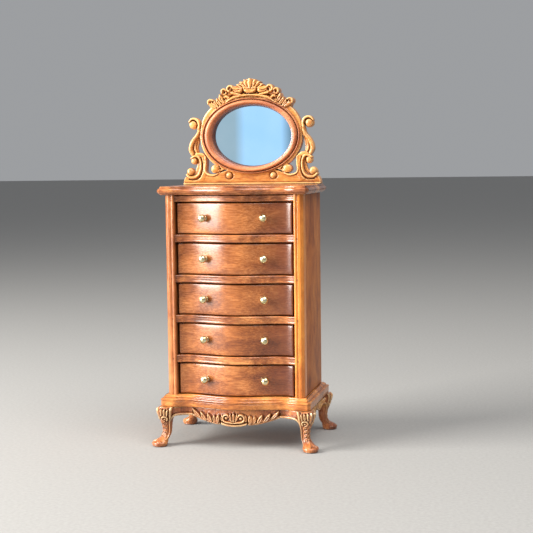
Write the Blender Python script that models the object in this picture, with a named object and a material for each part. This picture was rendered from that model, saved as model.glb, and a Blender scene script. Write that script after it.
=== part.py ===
"""A dolls' house chest of five drawers on cabriole legs, with an oval mirror on a fretwork stand.

Every number is in millimetres of the real miniature and becomes metres when a mesh is made.
+Z is up, the drawers face -Y, and the origin is on the floor under the middle of the chest.
"""

import math

import bmesh
import bpy
from mathutils import Matrix, Vector

MM = 0.001

# Driving heights, from the floor up.
TOTAL_HEIGHT = 164.4
BASE_BOTTOM = 17.6
BASE_TOP = 22.8
DRAWER_COUNT = 5
OPENING_HEIGHT = 14.4
RAIL_HEIGHT = 3.5
DRAWER_PITCH = OPENING_HEIGHT + RAIL_HEIGHT
TOP_BOTTOM = 111.9
TOP_THICKNESS = 3.8
STAND_BOTTOM = TOP_BOTTOM + TOP_THICKNESS

# Driving widths and depths.
CASE_HALF_WIDTH = 31.1
CASE_BACK = 20.6
POST_FRONT = -20.6
POST_BACK = -15.0
CANT = 1.3
POST_BEAD = 1.4
OPENING_HALF_WIDTH = 26.9
PANEL_THICKNESS = 3.0
BACK_THICKNESS = 2.0
OVERHANG = 3.0
GLUE_GAP = 0.1
RUNNING_GAP = 0.3

# The serpentine front: a swell in the middle, a hollow at each flank and a return at the ends.
FRONT_MID = 21.0
SWELL = 2.2
FLANK_X = 22.0
END_X = 29.0
END_RETURN = 1.5
FRONT_STEPS = 24

# Drawers.
FRONT_SIDE_GAP = 0.7
FRONT_BOTTOM_GAP = 0.25
FRONT_TOP_GAP = 0.4
FRONT_RECESS = 0.7
FRONT_INNER_Y = -15.6
BOX_WALL = 1.3
BOX_FLOOR = 0.9
BOX_SIDE_HEIGHT = 11.6
BOX_BACK_Y = 17.4
KNOB_X = 13.2
KNOB_HEAD_RADIUS = 1.8
KNOB_LENGTH = 3.9

# Legs and aprons.
LEG_SIDES = 12
APRON_THICKNESS = 2.3
APRON_PROUD = 1.5
APRON_HALF_LENGTH = 26.8
APRON_LOBE_Z = 9.95
APRON_NOTCH_X = 6.3
APRON_WING_X = 20.0
APRON_FLAT_Z = 13.75
SIDE_APRON_HALF_LENGTH = 16.4

# The mirror and its stand.
MIRROR_Z = 138.1
SIGHT = (18.2, 13.75)
HOLE = (20.0, 15.9)
PLATE = (23.2, 17.3)
RING_OUTSIDE = (24.0, 18.0)
RING_STEPS = 48
STAND_FRONT = 14.4
STAND_BACK = 19.2
CREST_FRONT = 12.9
GLASS_THICKNESS = 0.9
BACKING_THICKNESS = 0.9
GLASS_FRONT = STAND_BACK - GLASS_THICKNESS
BACKING = (21.0, 16.6)
STAND_HALF_WIDTH = 32.6


def clear_scene():
    for obj in list(bpy.data.objects):
        bpy.data.objects.remove(obj, do_unlink=True)


def material(name, colour, roughness, metallic=0.0):
    made = bpy.data.materials.new(name)
    made.use_nodes = True
    shader = made.node_tree.nodes["Principled BSDF"]
    shader.inputs["Base Color"].default_value = (*colour, 1.0)
    shader.inputs["Roughness"].default_value = roughness
    shader.inputs["Metallic"].default_value = metallic
    return made


def finishes():
    """The six finishes of the chest, by name."""
    return {
        "case_wood": material("case_wood", (0.36, 0.15, 0.06), 0.35),
        "drawer_wood": material("drawer_wood", (0.25, 0.09, 0.045), 0.25),
        "carved_wood": material("carved_wood", (0.52, 0.25, 0.09), 0.4),
        "inner_wood": material("inner_wood", (0.5, 0.36, 0.22), 0.7),
        "brass": material("brass", (0.72, 0.62, 0.36), 0.3, 1.0),
        "mirror": material("mirror", (0.85, 0.92, 0.96), 0.03, 1.0),
    }


def add_object(name, mesh_builder, finish, smooth_angle=None):
    """Turns a bmesh drawn in millimetres into a named object in metres."""
    bmesh.ops.recalc_face_normals(mesh_builder, faces=mesh_builder.faces)
    bmesh.ops.scale(mesh_builder, vec=(MM, MM, MM), verts=mesh_builder.verts)
    mesh = bpy.data.meshes.new(name)
    mesh_builder.to_mesh(mesh)
    mesh_builder.free()
    mesh.materials.append(finish)
    if smooth_angle is not None:
        mesh.shade_smooth()
        mesh.set_sharp_from_angle(angle=math.radians(smooth_angle))
    obj = bpy.data.objects.new(name, mesh)
    bpy.context.scene.collection.objects.link(obj)
    return obj


def move_origin(obj, point):
    """Puts the object's origin at a point given in millimetres, leaving its shape where it is."""
    offset = Vector(point) * MM
    obj.data.transform(Matrix.Translation(-offset))
    obj.location = offset


def loft(builder, loops):
    """Skins closed loops of equal length in order and caps the first and the last."""
    rows = [[builder.verts.new(point) for point in loop] for loop in loops]
    count = len(rows[0])
    for lower, upper in zip(rows, rows[1:]):
        for i in range(count):
            j = (i + 1) % count
            builder.faces.new((lower[i], lower[j], upper[j], upper[i]))
    builder.faces.new(list(reversed(rows[0])))
    builder.faces.new(rows[-1])


def ring_loft(builder, loops):
    """Skins closed loops in order and joins the last to the first, as round a frame."""
    rows = [[builder.verts.new(point) for point in loop] for loop in loops]
    count = len(rows[0])
    for lower, upper in zip(rows, rows[1:] + rows[:1]):
        for i in range(count):
            j = (i + 1) % count
            builder.faces.new((lower[i], lower[j], upper[j], upper[i]))


def level(outline, z):
    """A plan outline at a height."""
    return [(x, y, z) for x, y in outline]


def prism(name, outline, bottom, top, finish):
    builder = bmesh.new()
    loft(builder, [level(outline, bottom), level(outline, top)])
    return add_object(name, builder, finish)


def box(name, low, high, finish):
    """A plain board between two corners."""
    outline = [(low[0], low[1]), (high[0], low[1]), (high[0], high[1]), (low[0], high[1])]
    return prism(name, outline, low[2], high[2], finish)


def inset(outline, distance):
    """The closed anticlockwise outline moved inwards, square to each of its edges."""
    moved = []
    count = len(outline)
    for i, point in enumerate(outline):
        here = Vector(point)
        before = (here - Vector(outline[i - 1])).normalized()
        after = (Vector(outline[(i + 1) % count]) - here).normalized()
        first = Vector((-before.y, before.x))
        second = Vector((-after.y, after.x))
        corner = (first + second) / (1.0 + first.dot(second))
        moved.append(tuple(here + corner * distance))
    return moved


def spread(low, high, steps):
    return [low + (high - low) * i / steps for i in range(steps + 1)]


def front_y(x, proud=0.0):
    """Y of the serpentine front at x, moved forward by proud."""
    across = abs(x)
    if across < FLANK_X:
        depth = FRONT_MID + SWELL * math.cos(math.pi * across / FLANK_X)
    else:
        part = min(1.0, (across - FLANK_X) / (END_X - FLANK_X))
        depth = FRONT_MID - SWELL + END_RETURN * (1.0 - math.cos(math.pi * part)) / 2.0
    return -(depth + proud)


def front_slope(x):
    """Angle by which the serpentine front turns away from straight ahead at x."""
    step = 0.01
    return math.atan2(front_y(x + step) - front_y(x - step), 2.0 * step)


def board_outline(half_width, back, proud):
    """Plan of a board with the serpentine front and clipped front corners."""
    front = [(x, front_y(x, proud)) for x in spread(CANT - half_width, half_width - CANT, FRONT_STEPS)]
    side_y = front[0][1] + CANT
    return front + [(half_width, side_y), (half_width, back), (-half_width, back), (-half_width, side_y)]


def moulded_board(name, outline, profile, finish):
    """A board whose edge follows a profile of (inset, height) pairs from the bottom up."""
    builder = bmesh.new()
    loft(builder, [level(inset(outline, depth), z) for depth, z in profile])
    return add_object(name, builder, finish, 35)


def opening_bottom(number):
    """Height of the bottom of a drawer's opening; drawer 1 is the top one."""
    return BASE_TOP + (DRAWER_COUNT - number) * DRAWER_PITCH


def make_top_board(finish):
    z = TOP_BOTTOM
    profile = [(1.0, z), (0.3, z + 0.5), (0.0, z + 1.3), (0.0, z + 2.1), (0.5, z + 2.8),
               (1.1, z + 2.9), (1.5, z + TOP_THICKNESS)]
    outline = board_outline(CASE_HALF_WIDTH + OVERHANG, CASE_BACK, OVERHANG)
    moulded_board("top_board", outline, profile, finish)


def make_base_board(finish):
    z = BASE_BOTTOM
    profile = [(0.5, z), (0.1, z + 0.3), (0.1, z + 2.7), (0.0, z + 3.1), (0.3, z + 3.5),
               (1.1, z + 4.1), (1.3, z + 4.5), (2.1, z + 4.8), (2.4, BASE_TOP)]
    outline = board_outline(CASE_HALF_WIDTH + OVERHANG, CASE_BACK + OVERHANG, OVERHANG)
    moulded_board("base_board", outline, profile, finish)


def make_case_sides(finish):
    bottom = BASE_TOP + GLUE_GAP
    top = TOP_BOTTOM - GLUE_GAP
    inner = CASE_HALF_WIDTH - PANEL_THICKNESS
    for side, name in ((-1, "left"), (1, "right")):
        edges = sorted((side * inner, side * CASE_HALF_WIDTH))
        box(f"side_panel_{name}", (edges[0], POST_BACK + GLUE_GAP, bottom), (edges[1], CASE_BACK, top), finish)
    back_low = (GLUE_GAP - inner, CASE_BACK - BACK_THICKNESS, bottom)
    box("back_panel", back_low, (inner - GLUE_GAP, CASE_BACK - GLUE_GAP, top), finish)


def post_outline():
    """Plan of the right corner post: a clipped outer corner and a bead along the drawer side."""
    bead = POST_BEAD
    centre = (OPENING_HALF_WIDTH + bead, POST_FRONT + bead)
    arc = [math.radians(angle) for angle in spread(180, 270, 5)]
    rounded = [(centre[0] + bead * math.cos(a), centre[1] + bead * math.sin(a)) for a in arc]
    outer = [(CASE_HALF_WIDTH - CANT, POST_FRONT), (CASE_HALF_WIDTH, POST_FRONT + CANT)]
    return [(OPENING_HALF_WIDTH, POST_BACK)] + rounded + outer + [(CASE_HALF_WIDTH, POST_BACK)]


def make_corner_posts(finish):
    right = post_outline()
    left = [(-x, y) for x, y in reversed(right)]
    for name, outline in (("left", left), ("right", right)):
        prism(f"corner_post_{name}", outline, BASE_TOP + GLUE_GAP, TOP_BOTTOM - GLUE_GAP, finish)


def rail_profile(height):
    """Rounded nose of a rail, as (setback, height above its bottom)."""
    return [(0.9, 0.0), (0.25, 0.35), (0.0, height / 2.0), (0.25, height - 0.35), (0.9, height)]


def make_rail(name, bottom, height, back, finish):
    """A rail with the serpentine front between the posts; behind them it widens to the sides."""
    half = OPENING_HALF_WIDTH - GLUE_GAP
    wide = CASE_HALF_WIDTH - PANEL_THICKNESS - GLUE_GAP
    step_y = POST_BACK + GLUE_GAP
    builder = bmesh.new()
    loops = []
    for setback, rise in rail_profile(height):
        plan = [(x, front_y(x, -setback)) for x in spread(-half, half, FRONT_STEPS)]
        plan += [(half, step_y), (wide, step_y), (wide, back), (-wide, back), (-wide, step_y), (-half, step_y)]
        loops.append(level(plan, bottom + rise))
    loft(builder, loops)
    add_object(name, builder, finish, 40)


def make_rails(finish):
    board_back = CASE_BACK - BACK_THICKNESS - GLUE_GAP
    for number in range(1, DRAWER_COUNT):
        bottom = opening_bottom(number) - RAIL_HEIGHT
        make_rail(f"drawer_rail_{number}", bottom, RAIL_HEIGHT, board_back, finish)
    top_opening = opening_bottom(1) + OPENING_HEIGHT
    make_rail("top_rail", top_opening, TOP_BOTTOM - GLUE_GAP - top_opening, POST_BACK + 2.0, finish)


def make_drawer_front(number, bottom, finish):
    """A solid front, serpentine outside and flat inside."""
    half = OPENING_HALF_WIDTH - FRONT_SIDE_GAP
    height = OPENING_HEIGHT - FRONT_BOTTOM_GAP - FRONT_TOP_GAP
    soft = 0.3
    builder = bmesh.new()
    loops = []
    for setback, rise in ((soft, 0.0), (0.0, soft), (0.0, height - soft), (soft, height)):
        front = [(x, front_y(x, -FRONT_RECESS - setback)) for x in spread(-half, half, FRONT_STEPS)]
        loops.append(level(front + [(half, FRONT_INNER_Y), (-half, FRONT_INNER_Y)], bottom + rise))
    loft(builder, loops)
    return add_object(f"drawer_{number}_front", builder, finish, 30)


def knob_profile():
    """Radius and distance from the drawer front of a turned ball knob on a short neck."""
    flatness = 0.92
    centre = KNOB_LENGTH - flatness * KNOB_HEAD_RADIUS
    angles = [math.radians(angle) for angle in spread(-35.0, 90.0, 8)[:-1]]
    head = [(KNOB_HEAD_RADIUS * math.cos(a), centre + flatness * KNOB_HEAD_RADIUS * math.sin(a)) for a in angles]
    return [(1.15, 0.0), (1.15, 0.3), (0.7, 0.55)] + head


def make_knob(number, side, bottom, finish):
    """A knob standing square to the curved front; its own axis runs along -Y before it is turned."""
    sides = 12
    x = KNOB_X * side
    turn = Matrix.Rotation(front_slope(x), 3, "Z")
    foot = Vector((x, front_y(x, -FRONT_RECESS), bottom + (OPENING_HEIGHT - FRONT_TOP_GAP) / 2.0))
    foot += turn @ Vector((0.0, -2.0 * GLUE_GAP, 0.0))
    loops = []
    for radius, along in knob_profile():
        circle = [math.tau * i / sides for i in range(sides)]
        points = [Vector((radius * math.cos(a), -along, radius * math.sin(a))) for a in circle]
        loops.append([foot + turn @ point for point in points])
    builder = bmesh.new()
    loft(builder, loops)
    word = "left" if side < 0 else "right"
    return add_object(f"drawer_{number}_knob_{word}", builder, finish, 60)


def make_drawer_box(number, bottom, finish):
    """Two sides, a back and a floor, all behind the front."""
    outer = OPENING_HALF_WIDTH - FRONT_SIDE_GAP - 0.2
    inner = outer - BOX_WALL
    front = FRONT_INNER_Y + GLUE_GAP
    top = bottom + BOX_SIDE_HEIGHT
    pieces = []
    for side, name in ((-1, "left"), (1, "right")):
        edges = sorted((side * inner, side * outer))
        low = (edges[0], front, bottom)
        pieces.append(box(f"drawer_{number}_side_{name}", low, (edges[1], BOX_BACK_Y, top), finish))
    back_low = (GLUE_GAP - inner, BOX_BACK_Y - BOX_WALL, bottom)
    pieces.append(box(f"drawer_{number}_back", back_low, (inner - GLUE_GAP, BOX_BACK_Y, top), finish))
    floor_low = (GLUE_GAP - inner, front, bottom + 0.5)
    floor_high = (inner - GLUE_GAP, BOX_BACK_Y - BOX_WALL - GLUE_GAP, bottom + 0.5 + BOX_FLOOR)
    pieces.append(box(f"drawer_{number}_bottom", floor_low, floor_high, finish))
    return pieces


def make_drawer(number, finish):
    """One drawer; its seven pieces hang from an empty on the line that it slides along."""
    bottom = opening_bottom(number) + FRONT_BOTTOM_GAP
    pieces = [make_drawer_front(number, bottom, finish["drawer_wood"])]
    pieces += make_drawer_box(number, bottom, finish["inner_wood"])
    pieces += [make_knob(number, side, bottom, finish["brass"]) for side in (-1, 1)]
    runner = bpy.data.objects.new(f"drawer_{number}_runner", None)
    runner.empty_display_size = 5.0 * MM
    runner.location = (0.0, FRONT_INNER_Y * MM, bottom * MM)
    bpy.context.scene.collection.objects.link(runner)
    for piece in pieces:
        move_origin(piece, (0.0, FRONT_INNER_Y, bottom))
        piece.location = (0.0, 0.0, 0.0)
        piece.parent = runner


def leg_sections():
    """Cabriole leg from the foot up: height, place on the diagonal, half width, squareness."""
    return [
        (0.0, 34.3, 3.1, 2.0), (0.5, 34.4, 3.5, 2.0), (1.5, 34.2, 3.6, 2.0), (2.5, 33.7, 3.1, 2.0),
        (3.6, 32.7, 2.4, 2.1), (5.2, 31.6, 2.0, 2.2), (7.3, 31.4, 2.05, 2.3), (9.2, 31.45, 2.2, 2.5),
        (11.2, 31.5, 2.6, 2.6), (13.1, 31.6, 3.1, 2.7), (15.0, 31.8, 3.5, 2.8), (16.5, 31.7, 3.7, 3.0),
        (BASE_BOTTOM - GLUE_GAP, 31.3, 3.7, 3.2),
    ]


def make_leg(name, side_x, side_y, finish):
    """A leg whose sections step outwards on the diagonal of its corner."""
    foot_x = 34.3
    foot_y = 24.0
    loops = []
    for z, x, half, power in leg_sections():
        centre = (side_x * x, side_y * (foot_y - foot_x + x))
        loop = []
        for i in range(LEG_SIDES):
            angle = math.tau * i / LEG_SIDES
            across, along = math.cos(angle), math.sin(angle)
            reach = half / (abs(across) ** power + abs(along) ** power) ** (1.0 / power)
            loop.append((centre[0] + reach * across, centre[1] + reach * along, z))
        loops.append(loop)
    builder = bmesh.new()
    loft(builder, loops)
    add_object(name, builder, finish, 60)


def make_legs(finish):
    for side_y, depth in ((-1, "front"), (1, "back")):
        for side_x, across in ((-1, "left"), (1, "right")):
            make_leg(f"leg_{depth}_{across}", side_x, side_y, finish)


def apron_drop(x):
    """Lower edge of the front apron: a middle lobe, a notch and a lobe on each side."""
    across = abs(x)
    if across < APRON_NOTCH_X:
        return APRON_LOBE_Z + (across / APRON_NOTCH_X) ** 2
    part = min(1.0, (across - APRON_NOTCH_X) / (APRON_WING_X - APRON_NOTCH_X))
    return APRON_LOBE_Z + 0.7 + (APRON_FLAT_Z - APRON_LOBE_Z - 0.7) * part ** 1.9


def make_front_apron(finish):
    """A shaped plate that follows the serpentine front under the base."""
    top = BASE_BOTTOM - GLUE_GAP
    builder = bmesh.new()
    loops = []
    for x in spread(-APRON_HALF_LENGTH, APRON_HALF_LENGTH, 64):
        front = front_y(x, APRON_PROUD)
        back = front + APRON_THICKNESS
        low = apron_drop(x)
        loops.append([(x, front, top), (x, front, low + 0.5), (x, front + 0.5, low), (x, back, low), (x, back, top)])
    loft(builder, loops)
    add_object("apron_front", builder, finish, 40)


def make_side_aprons(finish):
    """Shaped plates between the legs at the sides and a plain one at the back."""
    top = BASE_BOTTOM - GLUE_GAP
    outer = CASE_HALF_WIDTH + 1.2
    for side, name in ((-1, "left"), (1, "right")):
        builder = bmesh.new()
        loops = []
        for y in spread(-SIDE_APRON_HALF_LENGTH, SIDE_APRON_HALF_LENGTH, 24):
            low = 13.0 + 1.3 * math.cos(math.pi * y / 8.0) * (1.0 - abs(y) / 24.0)
            face = side * outer
            inner = side * (outer - APRON_THICKNESS)
            loops.append([(face, y, top), (face, y, low), (inner, y, low), (inner, y, top)])
        loft(builder, loops)
        add_object(f"apron_{name}", builder, finish, 40)
    back_y = CASE_BACK + 1.2
    low = (-APRON_HALF_LENGTH, back_y - APRON_THICKNESS, 14.0)
    box("apron_back", low, (APRON_HALF_LENGTH, back_y, top), finish)


def ellipse(axes, steps, start=0.0, end=math.tau):
    """Points (x, z) on an ellipse round the middle of the mirror."""
    angles = spread(start, end, steps)
    return [(axes[0] * math.sin(a), MIRROR_Z + axes[1] * math.cos(a)) for a in angles]


def upright(outline, y):
    """An outline drawn in the plane of the mirror, at a depth."""
    return [(x, y, z) for x, z in outline]


def plate(name, outline, front, back, finish):
    """An upright plate cut to an outline of (x, z) points."""
    builder = bmesh.new()
    loft(builder, [upright(outline, front), upright(outline, back)])
    return add_object(name, builder, finish, 40)


def smooth_path(points, steps):
    """A Catmull-Rom curve through (x, z, half width) points, with steps on each span."""
    path = []
    last = len(points) - 1
    for i in range(last):
        before = Vector(points[max(i - 1, 0)])
        start = Vector(points[i])
        end = Vector(points[i + 1])
        after = Vector(points[min(i + 2, last)])
        for step in range(steps):
            t = step / steps
            bend = 2 * before - 5 * start + 4 * end - after
            twist = 3 * (start - end) + after - before
            path.append(start + 0.5 * t * ((end - before) + t * (bend + t * twist)))
    path.append(Vector(points[last]))
    return path


def ribbon(points, steps, flip):
    """Outline of a flat stroke along the path; flip mirrors it to the other side."""
    path = smooth_path(points, steps)
    left = []
    right = []
    for i, point in enumerate(path):
        ahead = path[min(i + 1, len(path) - 1)] - path[max(i - 1, 0)]
        across = Vector((-ahead.y, ahead.x)).normalized() * point.z
        left.append((flip * (point.x + across.x), point.y + across.y))
        right.append((flip * (point.x - across.x), point.y - across.y))
    return left + right[::-1]


def disc(centre, radius, flip):
    """Outline of a round scroll eye."""
    angles = spread(0.0, math.tau, 14)[:-1]
    return [(flip * (centre[0] + radius * math.sin(a)), centre[1] + radius * math.cos(a)) for a in angles]


# The strokes of the right half of the fretwork, as (x, z, half width) points.
UPPER_SCROLL = [(28.4, 143.4, 0.8), (28.9, 145.0, 0.8), (27.2, 146.4, 0.9), (25.1, 145.3, 0.9),
                (24.8, 142.4, 0.9), (25.3, 139.2, 1.05), (26.2, 137.0, 1.4), (27.1, 135.0, 1.9),
                (27.6, 133.0, 2.05), (27.2, 131.0, 1.9), (25.4, 129.2, 1.4), (22.4, 129.6, 1.1)]
MIDDLE_SCROLL = [(28.4, 126.1, 0.7), (28.2, 128.3, 0.8), (26.2, 129.1, 0.9), (24.4, 127.6, 1.0),
                 (24.4, 125.0, 1.1), (25.2, 122.0, 1.1), (27.2, 119.8, 1.0), (29.8, 119.6, 0.9),
                 (30.9, 121.2, 0.8)]
INNER_STEM = [(24.4, 128.7, 1.2), (22.8, 127.8, 1.3), (22.6, 125.4, 1.35), (22.9, 122.6, 1.3),
              (23.2, 119.8, 1.6), (23.4, 117.9, 1.5)]
UPPER_EYE = ((27.4, 143.8), 1.5)
MIDDLE_EYE = ((26.9, 126.7), 1.5)
LOWER_EYE = ((29.3, 121.6), 1.6)
INNER_EYE = ((16.6, 123.0), 2.1)


def stand_foot():
    """Outline of the solid foot of the stand, its top edge hollowed between the scrolls."""
    bottom = STAND_BOTTOM + GLUE_GAP
    right = [(STAND_HALF_WIDTH, bottom), (STAND_HALF_WIDTH, bottom + 2.1), (31.6, bottom + 4.4),
             (27.5, bottom + 4.0), (24.0, bottom + 4.4), (21.0, bottom + 4.6), (18.4, bottom + 5.6),
             (16.4, bottom + 7.8), (13.0, bottom + 9.4)]
    left = [(-x, z) for x, z in reversed(right)]
    return right + left


def join(target, helpers):
    """Unions the helpers into the target and removes them."""
    for helper in helpers:
        modifier = target.modifiers.new("union", "BOOLEAN")
        modifier.operation = "UNION"
        modifier.object = helper
        with bpy.context.temp_override(object=target, active_object=target):
            bpy.ops.object.modifier_apply(modifier=modifier.name)
        bpy.data.objects.remove(helper, do_unlink=True)


def make_mirror_stand(finish):
    """The fretwork board: an oval plate with a hole for the glass, a foot and scrolls on each side."""
    builder = bmesh.new()
    outer = ellipse(PLATE, RING_STEPS)[:-1]
    hole = ellipse(HOLE, RING_STEPS)[:-1]
    loops = []
    for out, inn in zip(outer, hole):
        loops.append([(out[0], STAND_FRONT, out[1]), (out[0], STAND_BACK, out[1]),
                      (inn[0], STAND_BACK, inn[1]), (inn[0], STAND_FRONT, inn[1])])
    ring_loft(builder, loops)
    board = add_object("mirror_stand", builder, finish, 40)
    # Each helper is a hair thinner or thicker than the last, so that no two faces lie in one plane.
    shapes = [stand_foot()]
    for flip in (-1, 1):
        shapes += [ribbon(stroke, 3, flip) for stroke in (UPPER_SCROLL, MIDDLE_SCROLL, INNER_STEM)]
        shapes += [disc(*eye, flip) for eye in (UPPER_EYE, MIDDLE_EYE, LOWER_EYE, INNER_EYE)]
    helpers = []
    for i, outline in enumerate(shapes):
        ease = 0.011 * (i + 1)
        helpers.append(plate(f"helper_{i}", outline, STAND_FRONT + ease, STAND_BACK - ease, finish))
    join(board, helpers)
    cut_rebate(board)


def cut_rebate(board):
    """Clears the hole for the glass right through the board again."""
    outline = ellipse(HOLE, RING_STEPS)[:-1]
    cutter = plate("rebate_cutter", outline, STAND_FRONT - 2.0, STAND_BACK + 2.0, board.data.materials[0])
    cutter.hide_render = True
    cutter.display_type = "WIRE"
    modifier = board.modifiers.new("rebate", "BOOLEAN")
    modifier.operation = "DIFFERENCE"
    modifier.object = cutter


def make_oval_frame(finish):
    """The moulded ring: an outer bead, a groove, a round member and a deep slope down to the glass."""
    flange = STAND_FRONT - GLUE_GAP
    spigot = (HOLE[0] - GLUE_GAP - SIGHT[0]) / (RING_OUTSIDE[0] - SIGHT[0])
    section = [(0.0, GLASS_FRONT - GLUE_GAP), (0.0, GLASS_FRONT - 1.0), (0.17, 15.6), (0.3, 13.4), (0.48, 12.6),
               (0.66, 13.0), (0.76, 13.8), (0.86, 13.4), (0.97, 13.7), (1.0, flange), (spigot, flange),
               (spigot, GLASS_FRONT - GLUE_GAP)]
    builder = bmesh.new()
    loops = []
    for angle in spread(0.0, math.tau, RING_STEPS)[:-1]:
        loop = []
        for outwards, y in section:
            wide = SIGHT[0] + outwards * (RING_OUTSIDE[0] - SIGHT[0])
            tall = SIGHT[1] + outwards * (RING_OUTSIDE[1] - SIGHT[1])
            loop.append((wide * math.sin(angle), y, MIRROR_Z + tall * math.cos(angle)))
        loops.append(loop)
    ring_loft(builder, loops)
    add_object("oval_frame", builder, finish, 50)


# Height of the crest above the ring at angles from the top, in degrees: leaf clusters and a curled tip.
CREST_HEIGHTS = [(0.0, 8.2), (12.0, 6.0), (23.0, 5.7), (32.0, 4.9), (38.0, 3.3), (44.0, 3.5), (50.0, 4.4), (55.0, 1.8)]


def crest_height(angle):
    """The crest's height at an angle either side of the top, eased between the named heights."""
    across = abs(math.degrees(angle))
    for (start, low), (end, high) in zip(CREST_HEIGHTS, CREST_HEIGHTS[1:]):
        if across <= end:
            part = (across - start) / (end - start)
            return low + (high - low) * (1.0 - math.cos(math.pi * part)) / 2.0
    return CREST_HEIGHTS[-1][1]


def make_crest(finish):
    """The carved crest over the ring, tallest in the middle."""
    steps = 42
    span = math.radians(CREST_HEIGHTS[-1][0])
    low = (RING_OUTSIDE[0] + GLUE_GAP, RING_OUTSIDE[1] + GLUE_GAP)
    lift = TOTAL_HEIGHT - MIRROR_Z - low[1] - CREST_HEIGHTS[0][1]
    builder = bmesh.new()
    loops = []
    for angle in spread(-span, span, steps):
        root = Vector((low[0] * math.sin(angle), MIRROR_Z + low[1] * math.cos(angle)))
        out = Vector((math.sin(angle) * 0.35, math.cos(angle))).normalized()
        tip = root + out * (crest_height(angle) + lift)
        loops.append([(root.x, CREST_FRONT, root.y), (tip.x, CREST_FRONT + 1.2, tip.y),
                      (tip.x, STAND_BACK, tip.y), (root.x, STAND_BACK, root.y)])
    loft(builder, loops)
    add_object("crest_carving", builder, finish, 40)


def make_glass_and_backing(finish):
    """The looking glass behind the ring and the thin board that holds it from behind."""
    axes = (HOLE[0] - RUNNING_GAP, HOLE[1] - RUNNING_GAP)
    outline = ellipse(axes, RING_STEPS)[:-1]
    plate("mirror_glass", outline, GLASS_FRONT, STAND_BACK, finish["mirror"])
    back = STAND_BACK + GLUE_GAP
    plate("mirror_backing", ellipse(BACKING, RING_STEPS)[:-1], back, back + BACKING_THICKNESS, finish["inner_wood"])


def main():
    clear_scene()
    finish = finishes()
    make_top_board(finish["case_wood"])
    make_base_board(finish["carved_wood"])
    make_case_sides(finish["case_wood"])
    make_corner_posts(finish["case_wood"])
    make_rails(finish["case_wood"])
    for number in range(1, DRAWER_COUNT + 1):
        make_drawer(number, finish)
    make_legs(finish["carved_wood"])
    make_front_apron(finish["carved_wood"])
    make_side_aprons(finish["carved_wood"])
    make_mirror_stand(finish["carved_wood"])
    make_oval_frame(finish["carved_wood"])
    make_crest(finish["carved_wood"])
    make_glass_and_backing(finish)


main()
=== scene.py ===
"""The looks of a dolls' house chest of five drawers with an oval mirror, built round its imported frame.

Shapes are drawn in millimetres in the frame's own axes: +Z up, the drawers towards -Y, the origin on
the floor under the middle of the chest. They become metres when a mesh is made.
"""

import math

import bmesh
import bpy
import numpy as np
from mathutils import Matrix, Vector


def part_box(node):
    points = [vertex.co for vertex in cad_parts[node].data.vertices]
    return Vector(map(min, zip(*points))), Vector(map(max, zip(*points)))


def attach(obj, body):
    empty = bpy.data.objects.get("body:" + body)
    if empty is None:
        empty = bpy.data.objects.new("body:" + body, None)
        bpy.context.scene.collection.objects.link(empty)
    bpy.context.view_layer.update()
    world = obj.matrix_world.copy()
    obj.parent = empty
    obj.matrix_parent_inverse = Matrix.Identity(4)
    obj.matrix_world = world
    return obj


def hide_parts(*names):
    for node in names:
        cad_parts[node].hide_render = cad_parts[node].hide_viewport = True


MM = 0.001

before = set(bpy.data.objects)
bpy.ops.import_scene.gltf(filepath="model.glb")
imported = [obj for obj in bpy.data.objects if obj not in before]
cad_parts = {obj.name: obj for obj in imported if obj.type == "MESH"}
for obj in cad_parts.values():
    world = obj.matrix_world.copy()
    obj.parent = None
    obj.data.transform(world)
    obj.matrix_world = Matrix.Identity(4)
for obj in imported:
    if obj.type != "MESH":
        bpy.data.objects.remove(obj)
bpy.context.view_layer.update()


def node_box(name):
    """Lowest and highest corner of a node of the frame, in millimetres."""
    low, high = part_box(name)
    return low / MM, high / MM


# Heights, widths and depths that the frame settles.
TOP_LOW, TOP_HIGH = node_box("top_board")
BASE_LOW, BASE_HIGH = node_box("base_board")
POST_LOW, POST_HIGH = node_box("corner_post_right")
RING_LOW, RING_HIGH = node_box("oval_frame")
STAND_LOW, STAND_HIGH = node_box("mirror_stand")
CREST_LOW, CREST_HIGH = node_box("crest_carving")
LEG_TOP = node_box("leg_front_right")[1].z
APRON_TOP = node_box("apron_front")[1].z
SIDE_APRON_HIGH = node_box("apron_right")[1]
DRAWER_COUNT = 5

CASE_HALF_WIDTH = POST_HIGH.x
OPENING_HALF_WIDTH = POST_LOW.x
POST_FRONT = POST_LOW.y
POST_BACK = POST_HIGH.y
CANT = 1.3
POST_BEAD = 1.5
OVERHANG = TOP_HIGH.x - CASE_HALF_WIDTH

# The serpentine front: a swell in the middle, a hollow at each flank and a return at the ends.
FRONT_MID = 21.0
SWELL = 2.2
FLANK_X = 22.0
END_X = 29.0
END_RETURN = 1.5
FRONT_STEPS = 110
DRAWER_RECESS = 0.7
KNOB_X = 13.2
KNOB_REACH = 3.9
KNOB_RADIUS = 1.8
KNOB_SIDES = 40

# The oval of the mirror.
MIRROR_Z = (RING_LOW.z + RING_HIGH.z) / 2.0
SIGHT = (18.2, 13.75)
SIGHT_SHIFT = 0.25
RING_OUTSIDE = (RING_HIGH.x, (RING_HIGH.z - RING_LOW.z) / 2.0)
HOLE = (20.0, 15.9)
PLATE = (24.2, 18.2)
STAND_FRONT = STAND_LOW.y
STAND_BACK = STAND_HIGH.y
CREST_FRONT = 14.2
OVAL_STEPS = 160
RING_STEPS = 200


# ---------------------------------------------------------------- camera, floor and light

CAMERA_PLACE = Vector((133.694, -538.121, 125.582))
CAMERA_YAW = math.radians(12.941)
CAMERA_PITCH = math.radians(4.844)
CAMERA_ROLL = math.radians(-0.710)
CAMERA_LENS = 82.65
SENSOR_WIDTH = 36.0
LIGHT_AIM = Vector((0.0, 0.0, 0.085))
GLOW_STRENGTH = 1.1


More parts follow.
